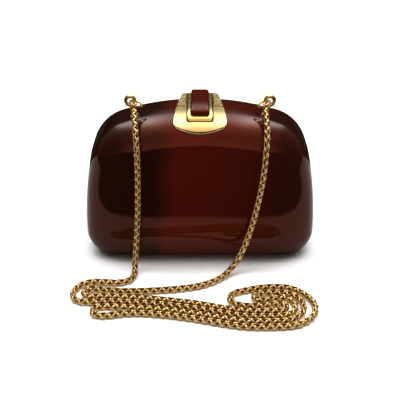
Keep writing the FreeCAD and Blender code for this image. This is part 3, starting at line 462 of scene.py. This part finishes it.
spread.inputs["From Min"].default_value = 0.3
spread.inputs["From Max"].default_value = 0.7
polish_marks.links.new(marks.outputs["Fac"], spread.inputs["Value"])
polish_marks.links.new(entry.outputs["Least"], spread.inputs["To Min"])
polish_marks.links.new(entry.outputs["Most"], spread.inputs["To Max"])
polish_marks.links.new(spread.outputs["Result"], leave.inputs["Roughness"])
polish_marks.links.new(marks.outputs["Fac"], leave.inputs["Height"])


def plated(name, deep, bright, scale, least, most, bump):
    """Metal finish: its colour wanders between two tones, and polishing marks change its roughness."""
    finish = bpy.data.materials.new(name)
    finish.use_nodes = True
    tree = finish.node_tree
    shader = tree.nodes["Principled BSDF"]
    shader.inputs["Metallic"].default_value = 1.0
    marks = tree.nodes.new("ShaderNodeGroup")
    marks.node_tree = polish_marks
    marks.inputs["Scale"].default_value = scale
    marks.inputs["Least"].default_value = least
    marks.inputs["Most"].default_value = most
    tree.links.new(marks.outputs["Roughness"], shader.inputs["Roughness"])
    tone = tree.nodes.new("ShaderNodeMix")
    tone.data_type = "RGBA"
    tone.inputs["A"].default_value = deep
    tone.inputs["B"].default_value = bright
    tree.links.new(marks.outputs["Height"], tone.inputs["Factor"])
    tree.links.new(tone.outputs["Result"], shader.inputs["Base Color"])
    grain = tree.nodes.new("ShaderNodeBump")
    grain.inputs["Strength"].default_value = bump
    grain.inputs["Distance"].default_value = 0.0002
    tree.links.new(marks.outputs["Height"], grain.inputs["Height"])
    tree.links.new(grain.outputs["Normal"], shader.inputs["Normal"])
    return finish


def dress(node, finish):
    """Gives a solid that stays in view its finish."""
    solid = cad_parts[node]
    solid.data.materials.clear()
    solid.data.materials.append(finish)


satin_brass = plated("satin_brass", deep=(0.72, 0.5, 0.22, 1), bright=(0.82, 0.62, 0.31, 1),
                     scale=400, least=0.24, most=0.36, bump=0.03)
for node in ("front_frame", "rear_frame"):
    dress(node, satin_brass)


# Linings: a thin satin cloth on board, in old gold, that follows the inside of each half
# and is cut away round the hinge, the clasp and the ear nuts.
satin = bpy.data.materials.new("satin_lining")
satin.use_nodes = True
tree = satin.node_tree
shader = tree.nodes["Principled BSDF"]
shader.inputs["Sheen Weight"].default_value = 0.4
shader.inputs["Sheen Roughness"].default_value = 0.35
place = tree.nodes.new("ShaderNodeTexCoord")
weft = tree.nodes.new("ShaderNodeTexWave")
weft.wave_type = "BANDS"
weft.bands_direction = "Z"
weft.inputs["Scale"].default_value = 800
weft.inputs["Distortion"].default_value = 1.2
weft.inputs["Detail"].default_value = 2
tree.links.new(place.outputs["Object"], weft.inputs["Vector"])
cloth = tree.nodes.new("ShaderNodeMix")
cloth.data_type = "RGBA"
cloth.inputs["A"].default_value = (0.36, 0.25, 0.13, 1)
cloth.inputs["B"].default_value = (0.52, 0.39, 0.22, 1)
tree.links.new(weft.outputs["Fac"], cloth.inputs["Factor"])
tree.links.new(cloth.outputs["Result"], shader.inputs["Base Color"])
gather = tree.nodes.new("ShaderNodeTexNoise")
gather.inputs["Scale"].default_value = 70
tree.links.new(place.outputs["Object"], gather.inputs["Vector"])
sheen = tree.nodes.new("ShaderNodeMapRange")
sheen.inputs["To Min"].default_value = 0.3
sheen.inputs["To Max"].default_value = 0.5
tree.links.new(gather.outputs["Fac"], sheen.inputs["Value"])
tree.links.new(sheen.outputs["Result"], shader.inputs["Roughness"])
pull = tree.nodes.new("ShaderNodeBump")
pull.inputs["Strength"].default_value = 0.3
pull.inputs["Distance"].default_value = 0.0006
tree.links.new(gather.outputs["Fac"], pull.inputs["Height"])
tree.links.new(pull.outputs["Normal"], shader.inputs["Normal"])


def cut_out(piece, size, middle):
    """Takes a block of the given size out of a closed piece."""
    bpy.ops.object.select_all(action="DESELECT")
    bpy.ops.mesh.primitive_cube_add(size=1, location=middle)
    block = bpy.context.object
    block.scale = size
    notch = piece.modifiers.new("notch", "BOOLEAN")
    notch.operation = "DIFFERENCE"
    notch.solver = "EXACT"
    notch.object = block
    bpy.context.view_layer.objects.active = piece
    bpy.ops.object.modifier_apply(modifier=notch.name)
    bpy.data.objects.remove(block)


lining_inset = 0.0042
lining_wall = 0.001
hinge_room = (0.4, 0.0276, 0.012)
clasp_room = (0.036, 0.037, 0.04)
nut_room = (0.011, 0.011, 0.03)
for facing, name, rim in ((-1, "front", 0.0005), (1, "rear", 0.0025)):
    half = pillow_skin("satin_lining_" + name, facing, lining_inset, rim, steps=6, turns=20)
    give_wall(half, lining_wall)
    cut_out(half, hinge_room, (0, 0, 0))
    cut_out(half, clasp_room, (0, 0, 0.108))
    if facing < 0:
        for side in (-1, 1):
            cut_out(half, nut_room, (side * 0.0425, -0.0036, 0.095))
    smooth(half, degrees=40)
    half.data.materials.append(satin)
    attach(half, name + "_half")
    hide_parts(name + "_lining")


# Hinge: two brass leaves with rolled knuckles on a steel pin along the base, riveted
# through each shell.
steel = plated("brushed_steel", deep=(0.5, 0.5, 0.52, 1), bright=(0.64, 0.64, 0.66, 1),
               scale=700, least=0.25, most=0.4, bump=0.05)
for node in ("hinge_front_leaf", "hinge_rear_leaf", "front_hinge_rivets", "rear_hinge_rivets"):
    dress(node, satin_brass)
dress("hinge_pin", steel)


# Latch: a leaf of spring steel, riveted under the rear frame, and the brass angle on the front frame
# that its hook holds. The leaf gives way when the button's stem comes down on it.
for node in ("latch_keeper", "tongue_rivets", "keeper_rivets"):
    dress(node, satin_brass)


def soften(piece, width, segments, degrees):
    """Rounds the edges that are sharper than the given angle."""
    edge = piece.modifiers.new("edge", "BEVEL")
    edge.width = width
    edge.segments = segments
    edge.limit_method = "ANGLE"
    edge.angle_limit = math.radians(degrees)
    bpy.context.view_layer.objects.active = piece
    bpy.ops.object.modifier_apply(modifier=edge.name)


leaf_half = 0.004
metre = 1000
bend_line = [
    (8.5, 98.95), (8.5, 99.75), (2.2, 99.75), (2.2, 96.35), (-5.0, 96.35), (-5.0, 97.35),
    (-6.5, 96.35), (-13.0, 96.35), (-13.0, 95.55), (3.0, 95.55), (3.0, 98.95),
]
bpy.ops.object.select_all(action="DESELECT")
bpy.ops.mesh.primitive_circle_add(vertices=len(bend_line), radius=0.01)
leaf = new_piece("latch_leaf")
for vertex, (y, z) in zip(leaf.data.vertices, bend_line):
    vertex.co = (-leaf_half, y / metre, z / metre)
bpy.ops.object.mode_set(mode="EDIT")
bpy.ops.mesh.select_all(action="SELECT")
bpy.ops.mesh.edge_face_add()
bpy.ops.mesh.extrude_region_move(TRANSFORM_OT_translate={"value": (2 * leaf_half, 0, 0)})
finish_edit()
soften(leaf, width=0.0002, segments=2, degrees=30)
smooth(leaf, degrees=40)
leaf.data.materials.append(steel)
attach(leaf, "rear_half")
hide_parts("latch_tongue")
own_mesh(leaf)


# Clasp plates: two thin gold-plated plates over the crown, parted where the halves meet, with painted shade
# in the joint for the shadow in the gap. The sides widen to the front, where the edge is bowed. Screwed on
# from inside.
plate_gold = plated("brushed_gold", deep=(0.95, 0.7, 0.27, 1), bright=(1.0, 0.8, 0.36, 1),
                    scale=260, least=0.2, most=0.28, bump=0.005)
gold = plated("polished_gold", deep=(0.92, 0.66, 0.22, 1), bright=(0.99, 0.76, 0.3, 1),
              scale=260, least=0.14, most=0.2, bump=0.012)


def paint_shade(finish, lit_level, shade_tone):
    """Paints shade into a metal's colour where the given level is low."""
    tree = finish.node_tree
    shader = tree.nodes["Principled BSDF"]
    tone = tree.nodes.new("ShaderNodeMix")
    tone.data_type = "RGBA"
    tone.inputs["A"].default_value = shade_tone
    tree.links.new(lit_level, tone.inputs["Factor"])
    tree.links.new(shader.inputs["Base Color"].links[0].from_socket, tone.inputs["B"])
    tree.links.new(tone.outputs["Result"], shader.inputs["Base Color"])


# Painted shade: the plates' colour is darkened within 0.8 mm of the parting, for the shadow in the gap.
tree = plate_gold.node_tree
place = tree.nodes.new("ShaderNodeTexCoord")
sides = tree.nodes.new("ShaderNodeSeparateXYZ")
tree.links.new(place.outputs["Object"], sides.inputs["Vector"])
away = tree.nodes.new("ShaderNodeMath")
away.operation = "ABSOLUTE"
tree.links.new(sides.outputs["Y"], away.inputs[0])
gap_shade = tree.nodes.new("ShaderNodeMapRange")
gap_shade.inputs["From Min"].default_value = 0.0006
gap_shade.inputs["From Max"].default_value = 0.0008
tree.links.new(away.outputs["Value"], gap_shade.inputs["Value"])
paint_shade(plate_gold, gap_shade.outputs["Result"], (0.2, 0.12, 0.025, 1))
crown_drop = 0.127


def crest_height(rise, x, y, level):
    """Height over the crown: on the shell's own form, or level behind the parting."""
    scale = 1.0
    if y < 0 or not level:
        scale = (1 - (abs(y) / (half_depth + rise)) ** fullness) ** (1 / fullness)
    return mid_height - crown_drop * scale + math.sqrt(((crown_radius + rise) * scale) ** 2 - x ** 2)


plate_rise = 0.0008
plate_foot = 0.00003
plate_half = 0.0156
plate_taper = 0.09796
plate_curve = 1.333
parting = 0.00045
plate_kinds = (
    (-1, "front", 0.028, 0.0035, 0.0016, (0.0126, 0.041, 0.04)),
    (1, "rear", 0.0245, 0.0, 0.0006, (0.0188, 0.0427, 0.04)),
)
for facing, name, end, bow, corner, opening in plate_kinds:
    bpy.ops.object.select_all(action="DESELECT")
    bpy.ops.mesh.primitive_grid_add(x_subdivisions=48, y_subdivisions=48, size=2)
    plate = new_piece("clasp_plate_" + name)
    for vertex in plate.data.vertices:
        across = vertex.co.x
        along = (vertex.co.y + 1) / 2
        reach = end - bow * across ** 2
        y = facing * (parting + along * (reach - parting))
        half_width = plate_half - plate_taper * y - plate_curve * y ** 2
        x = across * half_width
        past_x = max(corner - (half_width - abs(x)), 0.0)
        past_y = max(corner - (reach - abs(y)), 0.0)
        x -= math.copysign(past_x - past_x * math.sqrt(1 - past_y ** 2 / (2 * corner ** 2)), x)
        y -= math.copysign(past_y - past_y * math.sqrt(1 - past_x ** 2 / (2 * corner ** 2)), y)
        vertex.co = (x, y, crest_height(plate_rise, x, y, level=True))
    bpy.ops.object.mode_set(mode="EDIT")
    bpy.ops.mesh.select_all(action="SELECT")
    bpy.ops.mesh.extrude_region_move(TRANSFORM_OT_translate={"value": (0, 0, -0.03)})
    bpy.ops.object.mode_set(mode="OBJECT")
    for vertex in plate.data.vertices:
        if vertex.co.z < 0.09:
            vertex.co.z = crest_height(plate_foot, vertex.co.x, vertex.co.y, level=False)
    bpy.ops.object.mode_set(mode="EDIT")
    finish_edit()
    cut_out(plate, opening, (0, 0, 0.105))
    soften(plate, width=0.0002, segments=2, degrees=50)
    smooth(plate, degrees=35)
    plate.data.materials.append(plate_gold)
    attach(plate, name + "_half")
    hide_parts("clasp_" + name + "_plate")


# Bezel: a raised gold frame round the button, cast in one piece with rounded outer edges and fixed
# to the front plate. Its rear part only bridges over the rear half.
def slice_across(piece, y0, y1, count):
    """Cuts the mesh across its length, so that it can follow the crown."""
    bpy.context.view_layer.objects.active = piece
    bpy.ops.object.mode_set(mode="EDIT")
    for k in range(count + 1):
        bpy.ops.mesh.select_all(action="SELECT")
        bpy.ops.mesh.bisect(plane_co=(0, y0 + (y1 - y0) * k / count, 0), plane_no=(0, 1, 0))
    bpy.ops.object.mode_set(mode="OBJECT")


def pick_edges(piece, wanted):
    """Selects the edges whose two ends pass the test, and stays in edit mode."""
    bpy.context.view_layer.objects.active = piece
    bpy.ops.object.mode_set(mode="EDIT")
    bpy.ops.mesh.select_mode(type="EDGE")
    bpy.ops.mesh.select_all(action="DESELECT")
    bpy.ops.object.mode_set(mode="OBJECT")
    for edge in piece.data.edges:
        near, far = [piece.data.vertices[k].co for k in edge.vertices]
        edge.select = wanted(near, far)
    bpy.ops.object.mode_set(mode="EDIT")


bezel_middle = Vector((0, -0.001, 0))
bezel_size = Vector((0.0181, 0.044, 1))
bezel_corner = 0.0022
bezel_height = 0.00197
bezel_foot = 0.00035
bezel_rise = 0.00083
bridge_rise = 0.001
bezel_round = (
    (0.0, 0.0004), (0.0001, 0.0008), (0.0003, 0.0012), (0.0006, 0.0015), (0.001, 0.00177),
    (0.0014, 0.0019), (0.0018, bezel_height),
)
window_size = (0.0126, 0.039, 1)
window_corner = 0.0021
bpy.ops.object.select_all(action="DESELECT")
bpy.ops.mesh.primitive_plane_add(size=1, location=bezel_middle)
bezel = new_piece("clasp_bezel_frame")
bezel.scale = bezel_size
bpy.ops.object.transform_apply(location=True, rotation=True, scale=True)
bpy.ops.object.mode_set(mode="EDIT")
bpy.ops.mesh.select_mode(type="VERT")
bpy.ops.mesh.select_all(action="SELECT")
bpy.ops.mesh.bevel(offset=bezel_corner, segments=6, affect="VERTICES")
bpy.ops.mesh.select_all(action="SELECT")
bpy.ops.mesh.delete(type="ONLY_FACE")
bpy.ops.mesh.select_all(action="SELECT")
drawn = 0.0
reached = 0.0
for inward, height in bezel_round:
    bpy.ops.mesh.extrude_region_move(TRANSFORM_OT_translate={"value": (0, 0, height - reached)})
    narrower = [(size - 2 * inward) / (size - 2 * drawn) for size in bezel_size[:2]]
    centre = bezel_middle + Vector((0, 0, height))
    bpy.ops.transform.resize(value=(narrower[0], narrower[1], 1), center_override=centre)
    drawn = inward
    reached = height
bpy.ops.mesh.select_all(action="DESELECT")
bpy.ops.mesh.primitive_plane_add(size=1, location=bezel_middle)
bpy.ops.transform.resize(value=window_size, center_override=bezel_middle)
bpy.ops.mesh.bevel(offset=window_corner, segments=6, affect="VERTICES")
bpy.ops.mesh.delete(type="ONLY_FACE")
bpy.ops.object.mode_set(mode="OBJECT")


def round_window(near, far):
    """Whether an edge lies on the window's lower outline."""
    inside = abs(near.x) < 0.0065 and abs(near.y - bezel_middle.y) < 0.0196
    return inside and near.z + far.z < 0.0001


pick_edges(bezel, round_window)
bpy.ops.mesh.extrude_region_move(TRANSFORM_OT_translate={"value": (0, 0, bezel_height)})
bpy.ops.object.mode_set(mode="OBJECT")
for floor, roof in ((-0.001, 0.0001), (0.00196, 0.01)):
    pick_edges(bezel, lambda near, far: floor < min(near.z, far.z) and max(near.z, far.z) < roof)
    bpy.ops.mesh.bridge_edge_loops()
    bpy.ops.object.mode_set(mode="OBJECT")
bpy.ops.object.mode_set(mode="EDIT")
finish_edit()
slice_across(bezel, y0=-0.0225, y1=0.0205, count=60)
for vertex in bezel.data.vertices:
    x, y, z = vertex.co
    if z < bezel_foot:
        vertex.co.z = crest_height(bezel_rise if y < 0 else bridge_rise, x, y, level=False)
    else:
        vertex.co.z = crest_height(bezel_rise, 0, y, level=True) + z
smooth(bezel, degrees=40)
bezel.data.materials.append(gold)
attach(bezel, "front_half")
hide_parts("clasp_bezel")


# Clasp screws: two steel screws from inside each half, which go up through the shell into the clasp
# plate and hold it down.
for node in ("clasp_screws_front", "clasp_screws_rear"):
    dress(node, steel)


# Button: a lacquered cap with softened edges, bent like the crown, with a skirt over a gold tray whose
# stem goes down through the shell to the latch. A coil of steel wire round the stem lifts it again.
cap_size = (0.012, 0.0384, 0.0041)
cap_corner = 0.0018
cap_edge = 0.0013
cap_rise = 0.0019
bpy.ops.object.select_all(action="DESELECT")
bpy.ops.mesh.primitive_cube_add(size=1, location=(0, -0.001, cap_size[2] / 2))
cap = new_piece("button_cap")
cap.scale = cap_size
bpy.ops.object.transform_apply(location=True, rotation=True, scale=True)
pick_edges(cap, lambda near, far: abs(near.z - far.z) > 0.003)
bpy.ops.mesh.bevel(offset=cap_corner, segments=6, affect="EDGES")
bpy.ops.object.mode_set(mode="OBJECT")
pick_edges(cap, lambda near, far: min(near.z, far.z) > 0.004)
bpy.ops.mesh.bevel(offset=cap_edge, segments=6, affect="EDGES")
bpy.ops.object.mode_set(mode="OBJECT")
slice_across(cap, y0=-0.0197, y1=0.0177, count=50)
for vertex in cap.data.vertices:
    vertex.co.z += crest_height(cap_rise, 0, vertex.co.y, level=True)
smooth(cap, degrees=50)
cap.data.materials.append(lacquer)
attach(cap, "button")
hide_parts("button_inlay")
dress("button_carrier", gold)
dress("stem_clip", steel)

coil_radius = 0.0027
coil_wire = 0.0003
coil_foot = (0, -0.011, 0.10266)
bpy.ops.object.select_all(action="DESELECT")
bpy.ops.mesh.primitive_circle_add(vertices=10, radius=coil_wire, location=(coil_radius, 0, 0),
                                  rotation=(math.pi / 2, 0, 0))
coil = new_piece("button_coil")
bpy.ops.object.transform_apply(location=True, rotation=True, scale=True)
wound = coil.modifiers.new("wound", "SCREW")
wound.axis = "Z"
wound.steps = 32
wound.iterations = 3
wound.screw_offset = 0.0009
bpy.ops.object.modifier_apply(modifier=wound.name)
bpy.ops.object.mode_set(mode="EDIT")
bpy.ops.mesh.select_all(action="SELECT")
bpy.ops.mesh.fill_holes(sides=0)
bpy.ops.mesh.normals_make_consistent(inside=False)
bpy.ops.transform.translate(value=coil_foot)
bpy.ops.object.mode_set(mode="OBJECT")
smooth(coil, degrees=60)
coil.data.materials.append(steel)
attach(coil, "front_half")
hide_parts("button_spring")
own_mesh(coil)


# Ears: gold posts turned from bar with a foot, a waist and a round eye, one at each end of the crown.
# Their shanks go through the front shell, and nuts hold them inside.
def turned(name, rings, segments):
    """Closed round piece about the Z axis: a disc, extruded and drawn in or out ring by ring."""
    bpy.ops.object.select_all(action="DESELECT")
    bpy.ops.mesh.primitive_circle_add(vertices=segments, radius=rings[0][1], fill_type="NGON",
                                      location=(0, 0, rings[0][0]))
    piece = new_piece(name)
    bpy.ops.object.transform_apply(location=True, rotation=True, scale=True)
    bpy.ops.object.mode_set(mode="EDIT")
    bpy.ops.mesh.select_all(action="SELECT")
    for (low, last), (high, wide) in zip(rings, rings[1:]):
        bpy.ops.mesh.extrude_region_move(TRANSFORM_OT_translate={"value": (0, 0, high - low)})
        bpy.ops.transform.resize(value=(wide / last, wide / last, 1), center_override=(0, 0, high))
    finish_edit()
    return piece


def placed_copy(pattern, name, placing):
    """A copy of a piece with a mesh of its own, moved to its place."""
    copy = pattern.copy()
    copy.data = pattern.data.copy()
    copy.name = name
    copy.data.name = name
    copy.data.transform(placing)
    bpy.context.scene.collection.objects.link(copy)
    return copy


ear_profile = [
    (-0.0062, 0.0012), (-0.0059, 0.0015), (0.00002, 0.0015), (0.00003, 0.0027), (0.0003, 0.003),
    (0.001, 0.003), (0.0014, 0.0028), (0.0016, 0.0023), (0.0019, 0.00185), (0.0026, 0.00165),
    (0.004, 0.0016), (0.0056, 0.0017), (0.0068, 0.0019), (0.0078, 0.0019), (0.0086, 0.0014),
]
ear_x = 0.0438
ear_y = -0.0036
ear_tilt = math.asin(ear_x / crown_radius)
eye_height = 0.011
eye_radius = 0.003
eye_wire = 0.0013
first_post = turned("ear_post", ear_profile, segments=28)
bpy.ops.object.select_all(action="DESELECT")
bpy.ops.mesh.primitive_torus_add(major_segments=44, minor_segments=18, major_radius=eye_radius,
                                 minor_radius=eye_wire, location=(0, 0, eye_height),
                                 rotation=(math.pi / 2, 0, 0))
eye = bpy.context.object
weld = first_post.modifiers.new("weld", "BOOLEAN")
weld.operation = "UNION"
weld.solver = "EXACT"
weld.object = eye
bpy.context.view_layer.objects.active = first_post
bpy.ops.object.modifier_apply(modifier=weld.name)
bpy.data.objects.remove(eye)
dress("ear_nuts", satin_brass)
for side, name in ((-1, "left"), (1, "right")):
    lean_out = Matrix.Rotation(side * ear_tilt, 4, "Y")
    lean_out.translation = (side * ear_x, ear_y, crown_radius * math.cos(ear_tilt) + crown_centre)
    post = placed_copy(first_post, "ear_post_" + name, lean_out)
    smooth(post, degrees=40)
    post.data.materials.append(gold)
    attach(post, "front_half")
    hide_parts("ear_" + name)
bpy.data.objects.remove(first_post)


# Rings: jump rings of round gold wire in the eyes, closed with a butt seam. The last link of the chain,
# a small soldered ring at each end, hangs in them.
ring_radius = 0.0042
ring_wire = 0.0008
ring_seam = 0.035
ring_x = 0.042443
ring_z = 0.10742
bpy.ops.object.select_all(action="DESELECT")
bpy.ops.mesh.primitive_circle_add(vertices=14, radius=ring_wire, location=(ring_radius, 0, 0),
                                  rotation=(math.pi / 2, 0, 0))
first_ring = new_piece("jump_ring")
bpy.ops.object.transform_apply(location=True, rotation=True, scale=True)
bpy.ops.object.mode_set(mode="EDIT")
bpy.ops.mesh.select_all(action="SELECT")
bpy.ops.mesh.spin(steps=60, angle=2 * math.pi - ring_seam, center=(0, 0, 0), axis=(0, 0, 1))
bpy.ops.mesh.select_all(action="SELECT")
bpy.ops.mesh.fill_holes(sides=0)
finish_edit()
soften(first_ring, width=0.00012, segments=2, degrees=60)
for side, name in ((-1, "left"), (1, "right")):
    tilt = Matrix.Rotation(-side * math.radians(20), 4, "Y") @ Matrix.Rotation(math.radians(60), 4, "Z")
    tilt.translation = (side * ring_x, ear_y, ring_z)
    ring = placed_copy(first_ring, "jump_ring_" + name, tilt)
    smooth(ring, degrees=40)
    ring.data.materials.append(gold)
    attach(ring, "ring_" + name)
    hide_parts("ring_" + name)
bpy.data.objects.remove(first_ring)

chain_gold = plated("chain_gold", deep=(0.82, 0.53, 0.17, 1), bright=(0.97, 0.7, 0.3, 1),
                    scale=500, least=0.1, most=0.18, bump=0.05)
link_radius = 0.0022
link_wire = 0.0007
bead_rise = 0.16
bead_angle = 0.16
bpy.ops.object.select_all(action="DESELECT")
bpy.ops.mesh.primitive_torus_add(major_segments=36, minor_segments=12, major_radius=link_radius,
                                 minor_radius=link_wire)
last_link = new_piece("last_link")
for vertex in last_link.data.vertices:
    around = math.atan2(vertex.co.y, vertex.co.x)
    middle = Vector((math.cos(around), math.sin(around), 0)) * link_radius
    bead = 1 + bead_rise * math.exp(-(around / bead_angle) ** 2)
    vertex.co = middle + (vertex.co - middle) * bead
last_links = []
for side in (-1, 1):
    upright = Matrix.Rotation(math.pi / 2, 4, "Y")
    upright.translation = (side * ring_x, -0.0081, 0.10727)
    last_links.append(placed_copy(last_link, "hung_link", upright))
bpy.data.objects.remove(last_link)
end_links = joined(last_links, "chain_end_rings")
bpy.ops.object.shade_smooth()
end_links.data.materials.append(chain_gold)
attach(end_links, "front_half")
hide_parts("chain_end_links")


# Chain: one gold wheat chain from ear to ear, 1.19 m long and 5 mm thick. Each link is an oval
# ring folded into a V, and every other one is turned a quarter round the chain.
left_drop = [
    (-0.0431, -0.0106, 0.1064), (-0.0426, -0.0195, 0.1030), (-0.0416, -0.0270, 0.0980),
    (-0.0408, -0.0326, 0.0900), (-0.0404, -0.0358, 0.0790), (-0.0405, -0.0372, 0.0650),
    (-0.0410, -0.0376, 0.0500), (-0.0419, -0.0377, 0.0350), (-0.0429, -0.0382, 0.0220),
    (-0.0439, -0.0400, 0.0115), (-0.0443, -0.0446, 0.0042),
]
floor_run = [
    (-0.0440, -0.0515), (-0.0472, -0.0574), (-0.0545, -0.0598), (-0.0635, -0.0586), (-0.0718, -0.0580),
    (-0.0786, -0.0614), (-0.0826, -0.0676), (-0.0830, -0.0746), (-0.0794, -0.0804), (-0.0724, -0.0816),
    (-0.0600, -0.0802), (-0.0450, -0.0814), (-0.0300, -0.0830), (-0.0140, -0.0856), (0.0000, -0.0888),
    (0.0140, -0.0929), (0.0280, -0.0966), (0.0430, -0.0966), (0.0550, -0.0959), (0.0606, -0.0900),
    (0.0604, -0.0812), (0.0545, -0.0750), (0.0446, -0.0784), (0.0382, -0.0804), (0.0348, -0.0780),
    (0.0344, -0.0738), (0.0374, -0.0708), (0.0446, -0.0712), (0.0570, -0.0704), (0.0659, -0.0795),
    (0.0659, -0.0920), (0.0570, -0.1010), (0.0440, -0.1018), (0.0290, -0.1019), (0.0140, -0.0984),
    (0.0000, -0.0942), (-0.0140, -0.0909), (-0.0290, -0.0884), (-0.0450, -0.0872), (-0.0580, -0.0857),
    (-0.0650, -0.0861), (-0.0678, -0.0889), (-0.0678, -0.0929), (-0.0650, -0.0957), (-0.0574, -0.0958),
    (-0.0446, -0.0925), (-0.0290, -0.0936), (-0.0140, -0.0962), (0.0000, -0.0996), (0.0140, -0.1038),
    (0.0290, -0.1071), (0.0450, -0.1071), (0.0605, -0.1060), (0.0710, -0.0970), (0.0738, -0.0863),
    (0.0704, -0.0752), (0.0605, -0.0652), (0.0490, -0.0639), (0.0380, -0.0655), (0.0290, -0.0687),
    (0.0230, -0.0704), (0.0192, -0.0746), (0.0192, -0.0804), (0.0238, -0.0846), (0.0330, -0.0860),
    (0.0445, -0.0846), (0.0504, -0.0820), (0.0542, -0.0838), (0.0551, -0.0879), (0.0524, -0.0911),
    (0.0455, -0.0911), (0.0325, -0.0915), (0.0160, -0.0883), (0.0000, -0.0834), (-0.0140, -0.0804),
    (-0.0300, -0.0777), (-0.0480, -0.0758), (-0.0600, -0.0750), (-0.0664, -0.0753), (-0.0726, -0.0761),
    (-0.0757, -0.0732), (-0.0757, -0.0690), (-0.0724, -0.0662), (-0.0655, -0.0670), (-0.0525, -0.0695),
    (-0.0340, -0.0688), (-0.0160, -0.0670), (-0.0010, -0.0638), (0.0100, -0.0578),
]
right_drop = [
    (0.0176, -0.0506, 0.0029), (0.0236, -0.0448, 0.0070), (0.0290, -0.0412, 0.0160),
    (0.0332, -0.0392, 0.0280), (0.0364, -0.0382, 0.0410), (0.0390, -0.0376, 0.0540),
    (0.0410, -0.0370, 0.0670), (0.0422, -0.0354, 0.0795), (0.0430, -0.0322, 0.0900),
    (0.0434, -0.0268, 0.0980), (0.0433, -0.0195, 0.1030), (0.0431, -0.0106, 0.1064),
]
floor_level = 0.0024
route_points = left_drop + [(x, y, floor_level) for x, y in floor_run] + right_drop
route = bpy.data.curves.new("chain_route", "CURVE")
route.dimensions = "3D"
route.resolution_u = 10
strand = route.splines.new("NURBS")
strand.points.add(len(route_points) - 1)
for point, spot in zip(strand.points, route_points):
    point.co = (*spot, 1)
strand.order_u = 3
strand.use_endpoint_u = True
guide = bpy.data.objects.new("chain_route", route)
bpy.context.scene.collection.objects.link(guide)
bpy.context.view_layer.update()
line = bpy.data.meshes.new_from_object(guide.evaluated_get(bpy.context.evaluated_depsgraph_get()))
spots = [vertex.co.copy() for vertex in line.vertices]
bpy.data.objects.remove(guide)
bpy.data.meshes.remove(line)
runs = [0.0]
for near, far in zip(spots, spots[1:]):
    runs.append(runs[-1] + (far - near).length)
chain_length = runs[-1]


def chain_spot(run):
    """Point of the chain's line at the given length along it."""
    run = min(max(run, 0.0), chain_length)
    low = 0
    high = len(runs) - 1
    while high - low > 1:
        middle = (low + high) // 2
        if runs[middle] <= run:
            low = middle
        else:
            high = middle
    share = (run - runs[low]) / (runs[high] - runs[low])
    return spots[low].lerp(spots[high], share)


def chain_face(spot):
    """Way out of what the chain lies on: the table, the bag's face or its crown."""
    lift_start = 0.004
    lift_height = 0.012
    crown_start = 0.086
    crown_height = 0.02
    off_table = min(max((spot.z - lift_start) / lift_height, 0.0), 1.0)
    on_crown = min(max((spot.z - crown_start) / crown_height, 0.0), 1.0)
    off_front = Vector((0, -0.8 - 0.2 * off_table, 0.6 - 0.6 * off_table))
    off_crown = Vector((0, -0.35, 0.94))
    return off_front.lerp(off_crown, on_crown)


oval_half = 0.00115
oval_wire = 0.00088
lobe = 0.0045
lobe_steps = 200
first_lean = 6
arm_lean = 36
nose_lean = 80
nose_share = 0.2
bpy.ops.object.select_all(action="DESELECT")
bpy.ops.mesh.primitive_torus_add(major_segments=12, minor_segments=5, major_radius=oval_half,
                                 minor_radius=oval_wire)
link = bpy.context.object
bend = []
aside = 0.0
ahead = 0.0
for k in range(2 * lobe_steps):
    share = (k + 0.5) / lobe_steps
    nose = max(0.0, 1 - share / nose_share)
    lean = math.radians(first_lean + arm_lean * min(share, 1.0) ** 2 + nose_lean * nose ** 2)
    bend.append((lean, aside, ahead))
    aside += math.sin(lean) * lobe / lobe_steps
    ahead += math.cos(lean) * lobe / lobe_steps
for vertex in link.data.vertices:
    around = math.atan2(vertex.co.y, vertex.co.x)
    x, y, z = vertex.co
    y += (lobe - oval_half) * math.sin(around)
    lean, aside, ahead = bend[int(abs(y) / lobe * lobe_steps)]
    side = math.copysign(1, y)
    vertex.co = (x, side * (aside - z * math.cos(lean)), ahead + z * math.sin(lean))
bpy.ops.object.mode_set(mode="EDIT")
finish_edit()
bpy.ops.object.shade_smooth()

pitch = 0.0027
reach = 0.0047
count = int((chain_length - reach) / pitch)
wheat_gold = plated("wheat_gold", deep=(0.86, 0.56, 0.19, 1), bright=(1.0, 0.74, 0.34, 1),
                    scale=500, least=0.1, most=0.18, bump=0.05)
# Painted shade: the wire is darkened towards the chain's axis, inside each link and fold, where the links
# shade each other.
recess_shade_level = wheat_gold.node_tree.nodes.new("ShaderNodeAttribute")
recess_shade_level.attribute_name = "recess_shade"
paint_shade(wheat_gold, recess_shade_level.outputs["Fac"], (0.16, 0.07, 0.015, 1))
recess_shade_start = 0.0009
recess_shade_width = 0.0011
recess_shade = link.data.attributes.new("recess_shade", "FLOAT", "POINT")
for vertex in link.data.vertices:
    from_axis = math.hypot(vertex.co.x, vertex.co.y)
    recess_shade.data[vertex.index].value = min(max((from_axis - recess_shade_start) / recess_shade_width, 0.0), 1.0)

links = []
for index in range(count + 1):
    run = index * (chain_length - reach) / count
    back = chain_spot(run)
    halfway = chain_spot(run + reach / 2)
    front = chain_spot(run + reach)
    ahead = (front - back).normalized()
    across = ahead.cross(chain_face(back)).normalized()
    face = across.cross(ahead)
    face, across = (face + across).normalized(), (across - face).normalized()
    sides = (face, across) if index % 2 == 0 else (across, -face)
    turn = Matrix((sides[0], sides[1], ahead)).transposed().to_4x4()
    turn.translation = (back + front + halfway * 2) / 4 - ahead * reach / 2
    links.append(placed_copy(link, "wheat_link", turn))
bpy.data.objects.remove(link)
chain = joined(links, "wheat_chain")
chain.data.materials.append(wheat_gold)
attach(chain, "front_half")
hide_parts("chain_left_drop", "chain_floor_loops", "chain_right_drop")
